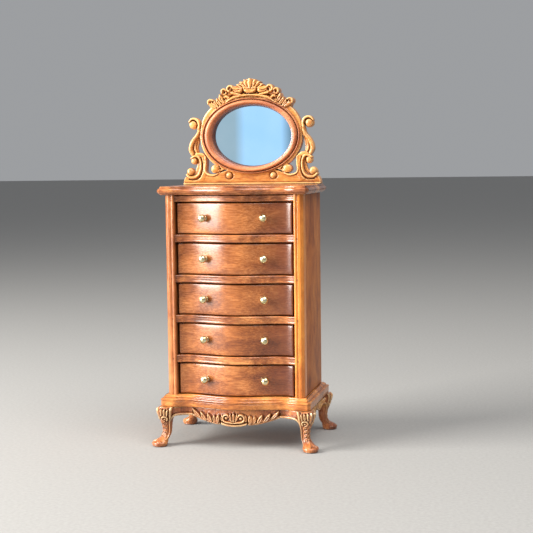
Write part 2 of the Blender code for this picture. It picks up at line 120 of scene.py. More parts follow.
def make_camera():
    data = bpy.data.cameras.new("camera")
    data.lens = CAMERA_LENS
    data.sensor_width = SENSOR_WIDTH
    data.clip_start = 0.01
    camera = bpy.data.objects.new("camera", data)
    aimed = Matrix.Rotation(CAMERA_YAW, 4, "Z") @ Matrix.Rotation(math.pi / 2.0 - CAMERA_PITCH, 4, "X")
    camera.matrix_world = Matrix.Translation(CAMERA_PLACE * MM) @ aimed @ Matrix.Rotation(CAMERA_ROLL, 4, "Z")
    bpy.context.scene.collection.objects.link(camera)
    bpy.context.scene.camera = camera


def softbox(name, azimuth, elevation, distance, size, power, colour):
    """A rectangular soft light aimed at the chest; azimuth 0 is in front and grows to the right."""
    a = math.radians(azimuth)
    e = math.radians(elevation)
    away = Vector((math.sin(a) * math.cos(e), -math.cos(a) * math.cos(e), math.sin(e)))
    data = bpy.data.lights.new(name, "AREA")
    data.shape = "RECTANGLE"
    data.size, data.size_y = size
    data.energy = power
    data.color = colour
    light = bpy.data.objects.new(name, data)
    light.location = LIGHT_AIM + away * distance
    light.rotation_mode = "QUATERNION"
    light.rotation_quaternion = (-away).to_track_quat("-Z", "Y")
    bpy.context.scene.collection.objects.link(light)


def make_light():
    softbox("key_light", azimuth=-58.0, elevation=20.0, distance=0.85, size=(0.52, 0.7), power=22.5,
            colour=(1.0, 0.97, 0.92))
    softbox("top_light", azimuth=42.0, elevation=62.0, distance=0.9, size=(0.7, 0.6), power=8.0,
            colour=(1.0, 0.98, 0.95))
    world = bpy.data.worlds.new("studio")
    world.use_nodes = True
    backdrop = world.node_tree.nodes["Background"]
    backdrop.inputs["Color"].default_value = (0.80, 0.82, 0.85, 1.0)
    backdrop.inputs["Strength"].default_value = 0.42
    bpy.context.scene.world = world
    bpy.context.scene.view_settings.view_transform = "Standard"


# ---------------------------------------------------------------- materials

class Shader:
    """A material whose nodes are added by kind; each input is a value or another node's output."""

    def __init__(self, name):
        self.material = bpy.data.materials.new(name)
        self.material.use_nodes = True
        self.tree = self.material.node_tree
        self.surface = self.tree.nodes["Principled BSDF"]

    def feed(self, socket, value):
        if isinstance(value, bpy.types.NodeSocket):
            self.tree.links.new(value, socket)
        else:
            socket.default_value = value

    def node(self, kind, inputs, out=0, **settings):
        made = self.tree.nodes.new(kind)
        for key, value in settings.items():
            setattr(made, key, value)
        for key, value in inputs.items():
            self.feed(made.inputs[key], value)
        return made.outputs[out]

    def set(self, **inputs):
        """Sets the surface's own inputs; underscores stand for the spaces in their names."""
        for key, value in inputs.items():
            self.feed(self.surface.inputs[key.replace("_", " ")], value)

    def place(self, scale):
        """Object coordinates stretched by a scale for each axis."""
        spot = self.node("ShaderNodeTexCoord", {}, "Object")
        return self.node("ShaderNodeMapping", {"Vector": spot, "Scale": scale})

    def noise(self, scale, detail=3.0, rough=0.55, warp=0.0):
        """Noise over object coordinates; the scale for each axis is in features per metre."""
        inputs = {"Vector": self.place(scale), "Scale": 1.0, "Detail": detail, "Roughness": rough,
                  "Distortion": warp}
        return self.node("ShaderNodeTexNoise", inputs, "Fac")

    def span(self, value, low, high, to_low=0.0, to_high=1.0):
        inputs = {"Value": value, "From Min": low, "From Max": high, "To Min": to_low, "To Max": to_high}
        return self.node("ShaderNodeMapRange", inputs)

    def maths(self, operation, first, second):
        return self.node("ShaderNodeMath", {0: first, 1: second}, operation=operation)

    def mix(self, factor, first, second):
        inputs = {0: factor, 6: first, 7: second}
        return self.node("ShaderNodeMix", inputs, 2, data_type="RGBA")

    def ramp(self, value, stops):
        made = self.tree.nodes.new("ShaderNodeValToRGB")
        self.feed(made.inputs[0], value)
        elements = made.color_ramp.elements
        while len(elements) < len(stops):
            elements.new(0.5)
        for element, (position, colour) in zip(elements, stops):
            element.position = position
            element.color = colour
        return made.outputs[0]


def shade(red, green, blue):
    """A colour given as screen values from 0 to 255."""
    parts = [part / 255.0 for part in (red, green, blue)]
    linear = [part / 12.92 if part <= 0.04045 else ((part + 0.055) / 1.055) ** 2.4 for part in parts]
    return (*linear, 1.0)


def along_grain(axis, length, width):
    """Features per metre for marks of a length along the grain and a width across it, in millimetres."""
    scale = [1.0 / (width * MM)] * 3
    scale["XYZ".index(axis)] = 1.0 / (length * MM)
    return tuple(scale)


def wood(name, axis, tones, wear_and_highlight=None, pore_and_shade_tone=shade(52, 22, 8), gloss=0.3, coat=0.35, ends=None, reach=1.1,
         ripple=0.35, mottle=0.3):
    """Stained and lacquered wood: blotchy stain, streaks and pores along the grain, and painted shade
    darkening the corners.

    tones are the stain's dark, middle and light. The pale tone of rubbed ridges, for a carved piece with its
    hollows marked, is partly real wear and partly painted highlight. The dark tone darkens the pores and is
    the painted shade of corners and carved hollows. ends is what the colour darkens to towards the right end
    of a drawer, partly stain and partly painted shade, and reach is how many millimetres into the open the
    painted shade of a corner spreads.
    """
    dark, middle, light = (shade(*tone) for tone in tones)
    s = Shader(name)
    blotch = s.noise(along_grain(axis, 22.0, 9.0), 4.0, 0.6, 0.6)
    streak = s.noise(along_grain(axis, 5.0, 0.4), 5.0, 0.65, 0.25)
    fleck = s.noise(along_grain(axis, 1.6, 0.2), 3.0, 0.7)
    tone = s.maths("ADD", s.maths("MULTIPLY", blotch, 0.55), s.maths("MULTIPLY", streak, 0.45))
    colour = s.ramp(tone, [(0.38, dark), (0.5, middle), (0.62, light)])
    # Towards the right end of a drawer the colour darkens, partly stain and partly painted shade.
    if ends:
        spot = s.node("ShaderNodeSeparateXYZ", {"Vector": s.place((1.0, 1.0, 1.0))})
        cloud = s.maths("MULTIPLY", s.noise((90.0, 90.0, 90.0), 3.0), 9.0 * MM)
        across = s.maths("ADD", spot, cloud)
        colour = s.mix(s.span(across, 10.0 * MM, 29.0 * MM, 0.0, 0.8), colour, ends)
    pores = s.span(fleck, 0.55, 0.7)
    colour = s.mix(s.maths("MULTIPLY", pores, 0.45), colour, pore_and_shade_tone)
    # Painted shade: ambient occlusion darkens corners and the gaps between parts towards the dark tone.
    near = s.node("ShaderNodeAmbientOcclusion", {"Distance": reach * MM}, "AO", samples=6)
    painted_corner_shade = s.span(near, 0.8, 0.25)
    patch = s.span(s.noise((190.0, 190.0, 190.0), 4.0, 0.65), 0.4, 0.62)
    if wear_and_highlight:
        # Painted shade in the carved hollows and corners; rubbed wear mixed with painted highlight on the
        # ridges.
        hollow = s.node("ShaderNodeAttribute", {}, "Fac", attribute_name="hollow")
        painted_hollow_shade = s.maths("MAXIMUM", s.span(hollow, 0.05, 0.75), s.maths("MULTIPLY", painted_corner_shade, 0.8))
        colour = s.mix(s.maths("MULTIPLY", painted_hollow_shade, 0.85), colour, pore_and_shade_tone)
        ridge = s.maths("MULTIPLY", s.span(hollow, -0.2, -0.9), s.span(patch, 0.0, 1.0, 0.35, 0.9))
        colour = s.mix(ridge, colour, shade(*wear_and_highlight))
    else:
        colour = s.mix(s.maths("MULTIPLY", painted_corner_shade, 0.85), colour, pore_and_shade_tone)
    colour = s.mix(s.maths("MULTIPLY", patch, mottle), colour, dark)
    height = s.maths("ADD", s.maths("MULTIPLY", streak, 0.5), s.maths("MULTIPLY", fleck, -0.5))
    fine = s.node("ShaderNodeBump", {"Strength": min(0.25, ripple), "Distance": 0.05 * MM, "Height": height})
    wave = s.noise((420.0, 420.0, 420.0), 2.0)
    bump = s.node("ShaderNodeBump",
                  {"Strength": ripple, "Distance": 0.12 * MM, "Height": wave, "Normal": fine})
    s.set(Base_Color=colour, Roughness=s.span(streak, 0.3, 0.7, gloss - 0.05, gloss + 0.09), Normal=bump,
          Coat_Weight=coat, Coat_Roughness=0.2, IOR=1.5)
    return s.material


def brass(name):
    """Pale antique brass with tarnish where fingers do not reach."""
    s = Shader(name)
    cloud = s.noise((900.0, 900.0, 900.0), 4.0, 0.6)
    near = s.node("ShaderNodeAmbientOcclusion", {"Distance": 1.0 * MM}, "AO", samples=6)
    colour = s.ramp(cloud, [(0.35, shade(186, 172, 122)), (0.55, shade(226, 218, 176)),
                            (0.7, shade(240, 235, 206))])
    colour = s.mix(s.span(near, 0.6, 0.15, 0.0, 0.75), colour, shade(96, 76, 40))
    bump = s.node("ShaderNodeBump", {"Strength": 0.2, "Distance": 0.04 * MM, "Height": cloud})
    s.set(Base_Color=colour, Metallic=1.0, Roughness=s.span(cloud, 0.3, 0.7, 0.2, 0.33), Normal=bump)
    return s.material


def mirror(name):
    """Silvered glass with a cool cast and a trace of unevenness."""
    s = Shader(name)
    drift = s.noise((60.0, 60.0, 60.0), 2.0)
    colour = s.ramp(drift, [(0.3, shade(170, 216, 250)), (0.7, shade(180, 222, 255))])
    s.set(Base_Color=colour, Metallic=1.0, Roughness=s.span(drift, 0.3, 0.7, 0.015, 0.03))
    return s.material


def paper_floor(name):
    """Pale matt card."""
    s = Shader(name)
    fibre = s.noise((700.0, 700.0, 700.0), 4.0)
    colour = s.ramp(fibre, [(0.3, shade(150, 149, 147)), (0.7, shade(160, 159, 157))])
    s.set(Base_Color=colour, Roughness=0.75)
    return s.material


def finishes():
    """Every finish by its name; a wood's tones run from dark to light."""
    panel = [(112, 56, 22), (170, 94, 40), (202, 126, 60)]
    rail = [(84, 38, 18), (170, 98, 52), (218, 146, 84)]
    # The posts are one wood in two tones: the left darker as painted shade, the right brighter as painted
    # light.
    post_left = [(132, 72, 36), (184, 110, 60), (206, 134, 80)]
    post_right = [(184, 100, 36), (220, 132, 50), (238, 156, 66)]
    base = [(116, 56, 24), (200, 122, 56), (236, 164, 90)]
    drawer = [(108, 54, 26), (164, 95, 46), (206, 132, 74)]
    carved = [(150, 80, 30), (205, 134, 62), (235, 168, 92)]
    leg = [(112, 52, 24), (172, 98, 52), (210, 138, 78)]
    ring = [(150, 80, 48), (190, 116, 74), (212, 140, 92)]
    inner = [(176, 142, 100), (199, 166, 122), (216, 186, 143)]
    made = {
        "case_x": wood("case_wood_across", "X", rail, gloss=0.25, coat=0.45, mottle=0.6, ripple=0.15),
        "case_z": wood("case_wood_upright", "Z", panel, gloss=0.55, coat=0.0, mottle=0.15),
        "post_left": wood("post_wood_left_painted_shade", "Z", post_left, coat=0.2),
        "post_right": wood("post_wood_right_painted_light", "Z", post_right, mottle=0.2),
        "base": wood("base_wood", "X", base, mottle=0.45, ripple=0.05, reach=0.6),
        # The drawers darken towards their right ends, partly stain and partly painted shade.
        "drawer": wood("drawer_wood", "X", drawer, gloss=0.25, coat=0.5, ends=shade(78, 34, 24), reach=1.6,
                       mottle=0.35),
        # The pale last tones of the carved, leg and ring woods are rubbed wear mixed with painted highlight.
        "carved": wood("carved_wood", "X", carved, (254, 214, 146), gloss=0.32, coat=0.3),
        "leg": wood("leg_wood", "Z", leg, (255, 226, 168), gloss=0.28, mottle=0.45),
        # The ring's long occlusion reach spreads painted shade over the slope down to the glass.
        "ring": wood("ring_wood", "X", ring, (250, 206, 150), gloss=0.4, coat=0.15, reach=3.2, ripple=0.0,
                     mottle=0.12),
        "brass": brass("antique_brass"),
        "mirror": mirror("silvered_glass"),
    }
    for axis in "XY":
        made[f"inner_{axis.lower()}"] = wood(f"inner_wood_{axis.lower()}", axis, inner,
                                             pore_and_shade_tone=shade(110, 78, 46), gloss=0.55, coat=0.0)
    return made


# ---------------------------------------------------------------- meshes

def make_piece(name, points, faces, finish, slot, body="case", replaces=(), sharp=40, marks=None):
    """A closed piece from points in millimetres, riding on its body in place of the nodes it stands for."""
    mesh = bpy.data.meshes.new(name)
    mesh.from_pydata((np.asarray(points, float) * MM).tolist(), [], faces)
    builder = bmesh.new()
    builder.from_mesh(mesh)
    bmesh.ops.recalc_face_normals(builder, faces=builder.faces)
    builder.to_mesh(mesh)
    builder.free()
    mesh.materials.append(finish)
    mesh.shade_smooth()
    mesh.set_sharp_from_angle(angle=math.radians(sharp))
    if marks:
        for key, values in marks(mesh).items():
            attribute = mesh.attributes.new(key, "FLOAT", "POINT")
            attribute.data.foreach_set("value", np.asarray(values, np.float32))
    obj = bpy.data.objects.new(name, mesh)
    bpy.context.scene.collection.objects.link(obj)
    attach(obj, body)
    if replaces:
        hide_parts(*replaces)


def skinned(loops, ring=False, cap=None):
    """Points and faces of a skin over closed loops of equal length: a ring, or a body with capped ends.

    cap lists the faces that close each end, as places along a loop; without it one face does.
    """
    loops = np.asarray(loops, float)
    rows, count = loops.shape[:2]
    index = np.arange(rows * count).reshape(rows, count)
    capped = [end[list(face)].tolist() for end in (index[0], index[-1]) for face in cap or [range(count)]]
    if ring:
        index = np.vstack([index, index[:1]])
        capped = []
    lower, upper = index[:-1], index[1:]
    quads = np.stack([lower, np.roll(lower, -1, 1), np.roll(upper, -1, 1), upper], axis=-1)
    return loops.reshape(-1, 3), quads.reshape(-1, 4).tolist() + capped


def smooth_curve(points, steps):
    """A Catmull-Rom curve through points with any number of coordinates, with steps on each span."""
    points = np.asarray(points, float)
    padded = np.vstack([points[:1], points, points[-1:]])
    curve = []
    for before, start, end, after in zip(padded, padded[1:], padded[2:], padded[3:]):
        for t in np.arange(steps) / steps:
            bend = 2 * before - 5 * start + 4 * end - after
            twist = 3 * (start - end) + after - before
            curve.append(start + 0.5 * t * ((end - before) + t * (bend + t * twist)))
    return np.array(curve + [points[-1]])


def front_y(x, proud=0.0):
    """Y of the serpentine front at x, moved forward by proud."""
    across = np.abs(x)
    middle = FRONT_MID + SWELL * np.cos(math.pi * across / FLANK_X)
    part = np.clip((across - FLANK_X) / (END_X - FLANK_X), 0.0, 1.0)
    flank = FRONT_MID - SWELL + END_RETURN * (1.0 - np.cos(math.pi * part)) / 2.0
    return -(np.where(across < FLANK_X, middle, flank) + proud)


def hollow_marks(mesh, rounds, depth):
    """For each point, how far it lies below (1) or above (-1) its smoothed surroundings."""
    count = len(mesh.vertices)
    ends = np.empty(len(mesh.edges) * 2, np.int32)
    mesh.edges.foreach_get("vertices", ends)
    ends = ends.reshape(-1, 2)
    both = np.concatenate([ends, ends[:, ::-1]])
    points = np.empty(count * 3, np.float32)
    mesh.vertices.foreach_get("co", points)
    points = points.reshape(-1, 3).astype(float) / MM
    normals = np.empty(count * 3, np.float32)
    mesh.vertex_normals.foreach_get("vector", normals)
    links = np.maximum(np.bincount(both[:, 0], minlength=count), 1)
    soft = points
    for _ in range(rounds):
        sums = [np.bincount(both[:, 0], soft[both[:, 1], axis], count) for axis in range(3)]
        soft = (soft + np.stack(sums, 1) / links[:, None]) / 2.0
    below = ((soft - points) * normals.reshape(-1, 3)).sum(1)
    return {"hollow": np.clip(below / depth, -1.0, 1.0)}


# ---------------------------------------------------------------- boards

def inset(outline, distance):
    """The closed anticlockwise outline moved inwards, square to each of its edges."""
    points = np.asarray(outline, float)
    before = points - np.roll(points, 1, 0)
    after = np.roll(points, -1, 0) - points
    before /= np.linalg.norm(before, axis=1)[:, None]
    after /= np.linalg.norm(after, axis=1)[:, None]
    first = np.stack([-before[:, 1], before[:, 0]], 1)
    second = np.stack([-after[:, 1], after[:, 0]], 1)
    corner = (first + second) / (1.0 + (first * second).sum(1))[:, None]
    return points + corner * distance


def level(outline, z):
    outline = np.asarray(outline, float)
    return np.column_stack([outline, np.full(len(outline), z)])


def board_outline(half_width, back, proud):
    """Plan of a board with the serpentine front and clipped front corners."""
    x = np.linspace(CANT - half_width, half_width - CANT, FRONT_STEPS + 1)
    front = list(zip(x, front_y(x, proud)))
    side_y = front[0][1] + CANT
    return front + [(half_width, side_y), (half_width, back), (-half_width, back), (-half_width, side_y)]


def board_loop(outline, depth, z):
    """A board's outline moved inwards at a height, with a point at the back for each on the front."""
    loop = inset(outline, depth)
    rear = np.linspace(loop[-3], loop[-2], FRONT_STEPS + 1)
    return level(np.vstack([loop[:-3], rear, loop[-1:]]), z)


def board_cap():
    """Strips from the front of a board loop to its back, and the corners that they leave."""
    last = 2 * FRONT_STEPS + 2
    strips = [(i, i + 1, last - i - 1, last - i) for i in range(FRONT_STEPS)]
    return strips + [(FRONT_STEPS, FRONT_STEPS + 1, FRONT_STEPS + 2), (0, last, last + 1)]


def moulded_board(name, high, profile, finish, slot):
    """A board whose edge follows a smooth profile of (inset, height) pairs from the bottom up."""
    outline = board_outline(high.x, high.y, OVERHANG)
    loops = [board_loop(outline, depth, z) for depth, z in profile]
    make_piece(name + "_moulded", *skinned(loops, cap=board_cap()), finish, slot, replaces=(name,), sharp=32)


def arc(centre, radius, start, end, steps):
    """Points on a circle of (inset, height), by angle from straight outwards, in degrees."""
    turns = np.radians(np.linspace(start, end, steps + 1))
    return [(centre[0] - radius * math.cos(a), centre[1] + radius * math.sin(a)) for a in turns]


def make_top_board(finish):
    """The top: a cove under a full round nose, then a small step up to the flat."""
    low, high = TOP_LOW.z, TOP_HIGH.z
    profile = [(2.2, low), (1.5, low + 0.02)]
    profile += [(1.5 - 0.6 * math.sin(t), low + 0.62 - 0.6 * math.cos(t)) for t in np.linspace(0.0, 1.35, 5)]
    profile += arc((1.35, low + 1.75), 1.35, -62, 58, 12)
    profile += [(0.95, low + 2.86), (1.0, low + 3.0)]
    profile += arc((1.55, low + 3.28), 0.5, -25, 75, 5)
    profile += [(1.75, high - 0.01), (2.1, high)]
    moulded_board("top_board", TOP_HIGH, profile, finish["case_x"], "case_wood")


def make_base_board(finish):
    """The plinth: a fascia, a bold ovolo, a quirk and a smaller bead running up to the case."""
    low, high = BASE_LOW.z, BASE_HIGH.z
    profile = [(1.4, low), (0.5, low + 0.02), (0.22, low + 0.2), (0.12, low + 0.5)]
    profile += [(0.12, low + 1.4), (0.12, low + 2.3), (0.2, low + 2.42)]
    profile += arc((0.75, low + 3.05), 0.75, -42, 80, 10)
    profile += [(1.0, low + 3.74), (1.1, low + 3.7), (1.16, low + 3.78)]
    profile += arc((1.8, low + 4.15), 0.62, -20, 85, 8)
    profile += [(1.95, low + 4.86), (2.1, high - 0.02), (2.16, high)]
    moulded_board("base_board", BASE_HIGH, profile, finish["base"], "carved_wood")


def eased_board(name, node, finish, slot, body="case", ease=0.12):
    """A plain board in a node's place with its edges rubbed round."""
    low, high = node_box(node)
    builder = bmesh.new()
    bmesh.ops.create_cube(builder, size=1.0)
    size = high - low
    middle = (high + low) / 2.0
    for vert in builder.verts:
        vert.co = Vector((vert.co.x * size.x, vert.co.y * size.y, vert.co.z * size.z)) + middle
    bmesh.ops.bevel(builder, geom=builder.edges[:], offset=ease, segments=3, profile=0.5, affect="EDGES")
    points = [vert.co[:] for vert in builder.verts]
    faces = [[vert.index for vert in face.verts] for face in builder.faces]
    builder.free()
    make_piece(name, points, faces, finish, slot, body, (node,), sharp=35)


def make_case_boards(finish):
    for side in ("left", "right"):
        eased_board(f"side_board_{side}", f"side_panel_{side}", finish["case_z"], "case_wood")
    eased_board("back_board", "back_panel", finish["case_z"], "case_wood")
    eased_board("back_apron_board", "apron_back", finish["case_x"], "carved_wood", ease=0.35)


def make_corner_posts(finish):
    """Posts with a clipped outer corner and, on the drawer side, a bead set off by a fine groove."""
    bead = POST_BEAD / 2.0
    front = POST_FRONT
    centre_x = OPENING_HALF_WIDTH + bead
    plan = [(OPENING_HALF_WIDTH, POST_BACK), (OPENING_HALF_WIDTH, front + 0.9)]
    turns = np.radians(np.linspace(180.0, 312.0, 11))
    plan += [(centre_x + bead * math.cos(a), front + 0.55 + 0.75 * math.sin(a)) for a in turns]
    quirk = OPENING_HALF_WIDTH + POST_BEAD
    plan += [(quirk + 0.05, front + 0.16), (quirk + 0.18, front + 0.04), (quirk + 0.35, front)]
    plan += [(CASE_HALF_WIDTH - CANT - 0.12, front), (CASE_HALF_WIDTH - CANT + 0.1, front + 0.06)]
    plan += [(CASE_HALF_WIDTH - 0.08, front + CANT - 0.12), (CASE_HALF_WIDTH, front + CANT + 0.12)]
    plan += [(CASE_HALF_WIDTH, POST_BACK)]
    for flip, side in ((-1.0, "left"), (1.0, "right")):
        outline = [(flip * x, y) for x, y in plan]
        loops = [level(outline, z) for z in np.linspace(POST_LOW.z - 0.1, POST_HIGH.z + 0.1, 60)]
        make_piece(f"beaded_post_{side}", *skinned(loops), finish[f"post_{side}"], "case_wood",
                   replaces=(f"corner_post_{side}",), sharp=35)


def rail_nose(height):
    """Front of a rail from the bottom up, as (setback, rise): beads at the edges and a hollow between."""
    bottom = [(1.0, 0.0), (0.55, 0.03), (0.25, 0.13), (0.06, 0.32), (0.0, 0.55), (0.05, 0.8), (0.13, 1.0),
              (0.13, 1.25)]
    return bottom + [(0.08, height / 2.0)] + [(setback, height - rise) for setback, rise in reversed(bottom)]


def make_rail(node, finish, open_end):
    """A serpentine rail whose ends run out to a point over the beads of the posts."""
    low, high = node_box(node)
    height = high.z - low.z
    reach = 1.75
    body_x = np.linspace(-OPENING_HALF_WIDTH, OPENING_HALF_WIDTH, FRONT_STEPS + 1)
    tip = np.array([0.25, 0.5, 0.75, 0.97]) * reach
    stations = np.concatenate([-OPENING_HALF_WIDTH - tip[::-1], body_x, OPENING_HALF_WIDTH + tip])
    nose = rail_nose(height)
    loops = []
    for x in stations:
        over = max(0.0, abs(x) - OPENING_HALF_WIDTH)
        squeeze = 1.0 - over / reach if open_end else 1.0
        back = high.y if over == 0.0 else POST_FRONT + 1.6
        face = float(front_y(x)) if over == 0.0 else min(float(front_y(x)), POST_FRONT - 0.12)
        middle = low.z + height / 2.0
        loop = [(x, face + setback, middle + (rise - height / 2.0) * squeeze) for setback, rise in nose]
        loop += [(x, back, loop[-1][2]), (x, back, loop[0][2])]
        loops.append(loop)
    make_piece(f"{node}_shaped", *skinned(loops), finish["case_x"], "case_wood", replaces=(node,), sharp=35)


def make_rails(finish):
    for number in range(1, DRAWER_COUNT):
        make_rail(f"drawer_rail_{number}", finish, True)
    make_rail("top_rail", finish, False)


# ---------------------------------------------------------------- drawers

def edge_ease(distance, radius):
    """Setback of a surface at a distance from its rounded edge."""
    inside = np.clip(1.0 - np.asarray(distance) / radius, 0.0, 1.0)
    return radius * (1.0 - np.sqrt(1.0 - inside ** 2))


def eased_stations(low, high, radius, steps):
    """Places from low to high, close together at both rounded edges."""
    ease = radius * np.array([0.0, 0.04, 0.13, 0.3, 0.6, 1.0])
    even = np.linspace(low + radius, high - radius, steps)
    return np.concatenate([low + ease, even[1:-1], high - ease[::-1]])


def make_drawer_front(number, finish):
    """A serpentine front with rubbed edges, very slightly pillowed from top to bottom."""
    node = f"drawer_{number}_front"
    low, high = node_box(node)
    radius = 0.7
    narrower = 0.2
    heights = eased_stations(low.z, high.z, radius, 20)
    across = eased_stations(low.x + narrower, high.x - narrower, radius, FRONT_STEPS)
    middle = (low.z + high.z) / 2.0
    pillow = 0.22 * ((heights - middle) / (high.z - middle)) ** 4
    soft_z = edge_ease(np.minimum(heights - low.z, high.z - heights), radius) + pillow
    soft_x = edge_ease(high.x - narrower - np.abs(across), radius)
    loops = []
    for x, soft in zip(across, soft_x):
        face = front_y(x, -DRAWER_RECESS) + np.maximum(soft_z, soft) + 0.3 * np.minimum(soft_z, soft)
        loop = [(x, y, z) for y, z in zip(face, heights)]
        loops.append(loop + [(x, high.y, high.z), (x, high.y, low.z)])
    make_piece(f"drawer_{number}_face", *skinned(loops), finish["drawer"], "drawer_wood", f"drawer_{number}",
               (node,), sharp=50)


def knob_profile():
    """Radius and distance from the drawer front: a turned collar, a neck and a ball with a small flat."""
    flatness = 0.92
    centre = KNOB_REACH - flatness * KNOB_RADIUS
    points = [(1.2, 0.0), (1.22, 0.12), (1.16, 0.26), (0.95, 0.36), (0.8, 0.5), (0.76, 0.68)]
    turns = np.radians(np.linspace(-58.0, 84.0, 22))
    points += [(KNOB_RADIUS * math.cos(a), centre + flatness * KNOB_RADIUS * math.sin(a)) for a in turns]
    return points


def make_knob(number, side, finish):
    """A knob standing square to the curved front."""
    node = f"drawer_{number}_knob_{side}"
    low, high = node_box(node)
    knob_x = KNOB_X if side == "right" else -KNOB_X
    step = 0.01
    slope = math.atan2(float(front_y(knob_x + step) - front_y(knob_x - step)), 2.0 * step)
    turn = Matrix.Rotation(slope, 3, "Z")
    foot = Vector((knob_x, float(front_y(knob_x, -DRAWER_RECESS)), (low.z + high.z) / 2.0))
    circle = np.arange(KNOB_SIDES) * math.tau / KNOB_SIDES
    loops = [[foot + turn @ Vector((radius * math.cos(a), -along, radius * math.sin(a))) for a in circle]
             for radius, along in knob_profile()]
    make_piece(f"drawer_{number}_turned_knob_{side}", *skinned(loops), finish["brass"], "brass",
               f"drawer_{number}", (node,), sharp=60)


def make_drawer(number, finish):
    body = f"drawer_{number}"
    make_drawer_front(number, finish)
    for side in ("left", "right"):
        make_knob(number, side, finish)
        eased_board(f"{body}_side_board_{side}", f"{body}_side_{side}", finish["inner_y"], "inner_wood", body,
                    0.15)
    eased_board(f"{body}_back_board", f"{body}_back", finish["inner_x"], "inner_wood", body, 0.15)
    eased_board(f"{body}_floor_board", f"{body}_bottom", finish["inner_x"], "inner_wood", body, 0.08)


# ---------------------------------------------------------------- carving

class Carving:
    """A carved board seen square on, mirrored about its middle.

    solid holds how far inside the outline each point lies, and face how far the surface stands forward.
    """

    def __init__(self, half_width, low, high, step):
        count = int(math.ceil(half_width / step)) + 1
        self.across = np.arange(-count, count + 1) * step
        self.up = np.arange(low - 2 * step, high + 2 * step, step)
        self.x, self.z = np.meshgrid(np.abs(self.across), self.up, indexing="ij")
        self.step = step
        self.room = np.minimum(np.minimum(self.z - low, high - self.z), half_width - self.x)
        self.solid = np.full(self.x.shape, -5.0)
        self.face = np.full(self.x.shape, -5.0)

    def nearest(self, start, run):
        """How far along a straight run each point's nearest place lies, from 0 to 1, and its distance."""
        length = max(run[0] ** 2 + run[1] ** 2, 1e-9)
        t = np.clip(((self.x - start[0]) * run[0] + (self.z - start[1]) * run[1]) / length, 0.0, 1.0)
        return t, np.hypot(self.x - start[0] - t * run[0], self.z - start[1] - t * run[1])

    def stroke(self, points):
        """How far inside a tapered stroke of (x, z, half width) each point is, and its share of the width."""
        path = smooth_curve(points, 6) if len(points) > 2 else np.asarray(points, float)
        inside = np.full(self.x.shape, -9.0)
        share = np.full(self.x.shape, 9.0)
        for start, end in zip(path, path[1:]):
            run = end - start
            t, gap = self.nearest(start, run)
            half = start[2] + t * run[2]
            better = half - gap > inside
            inside = np.where(better, half - gap, inside)
            share = np.where(better, gap / np.maximum(half, 0.05), share)
        return inside, share

    def raise_face(self, inside, height):
        self.face = np.where(inside > -0.6, np.maximum(self.face, height), self.face)

    def ridge(self, points, low, crown, solid=True):
        """A rounded stroke: its edge stands at low and its middle at low + crown."""
        inside, share = self.stroke(points)
        dome = np.sqrt(np.clip(1.0 - share ** 2, 0.0, 1.0))
        steep = np.clip(inside, -9.0, 0.0) * 3.0
        self.raise_face(inside, low + crown * dome + steep)
        if solid:
            self.solid = np.maximum(self.solid, inside)

    def ball(self, x, z, radius, low, crown, solid=True):
        self.ridge([(x, z, radius), (x + 0.01, z, radius)], low, crown, solid)

    def leaf(self, root, tip, width, low, crown, bend=0.0, solid=False, vein=0.35):
        """A pointed leaf from root to tip, with a cut vein; bend moves its middle sideways."""
        root = np.array(root, float)
        tip = np.array(tip, float)
        run = tip - root
        side = np.array([-run[1], run[0]]) * bend
        spots = [(0.0, 0.45), (0.3, 0.95), (0.6, 0.9), (1.0, 0.12)]
        path = []
        for t, share in spots:
            spot = root + run * t + side * 4.0 * t * (1.0 - t)
            path.append((spot[0], spot[1], width * share))
        self.ridge(path, low, crown, solid)
        if vein:
            self.cut([(x, z, 0.3 * half + 0.05) for x, z, half in path[:-1]], vein * crown)

    def flat(self, points, height):
        """A flat area inside a closed outline of the right half."""
        points = np.asarray(points, float)
        gap = np.full(self.x.shape, 99.0)
        odd = np.zeros(self.x.shape, bool)
        for start, end in zip(points, np.roll(points, -1, 0)):
            run = end - start
            gap = np.minimum(gap, self.nearest(start, run)[1])
            crosses = (start[1] > self.z) != (end[1] > self.z)
            rise = run[1] if abs(run[1]) > 1e-9 else 1e-9
            odd ^= crosses & (self.x < start[0] + (self.z - start[1]) * run[0] / rise)
        inside = np.where(odd, gap, -gap)
        self.raise_face(inside, np.full(self.x.shape, height))
        self.solid = np.maximum(self.solid, inside)

    def cut(self, points, depth):
        """A rounded groove along a stroke."""
        _, share = self.stroke(points)
        self.face = self.face - depth * np.clip(1.0 - share ** 2, 0.0, 1.0)

    def pit(self, x, z, radius, depth):
        """A round hollow."""
        self.cut([(x, z, radius), (x + 0.01, z, radius)], depth)

    def soften(self, height, pitch):
        """The small unevenness of hand work."""
        x, z = np.meshgrid(self.across, self.up, indexing="ij")
        wave = np.sin(x * pitch + 1.3 * np.sin(z * 0.9)) * np.cos(z * pitch * 1.17 + 0.7 * np.sin(x * 0.8))
        fine = np.sin(x * 3.7 * pitch + z * 2.1) * np.sin(z * 3.1 * pitch - x * 1.3)
        self.face = self.face + height * (wave + 0.45 * fine)

    def block(self, thickness, back=0.0):
        """The board as points (across, depth behind its plane, up) and faces, thinned from the back."""
        deep_step = 0.35
        solid = np.minimum(self.solid, self.room)
        front = -np.max(np.where(solid > 0, self.face, -5.0)) - 2 * deep_step
        depth = np.arange(front, thickness + 2 * deep_step, deep_step)[None, :, None]
        field = np.minimum(solid[:, None, :], depth + self.face[:, None, :])
        field = np.minimum(field, thickness - (back + np.zeros(solid.shape))[:, None, :] - depth)
        origin = (self.across[0], front, self.up[0])
        return surface_net(field, origin, (self.step, deep_step, self.step))


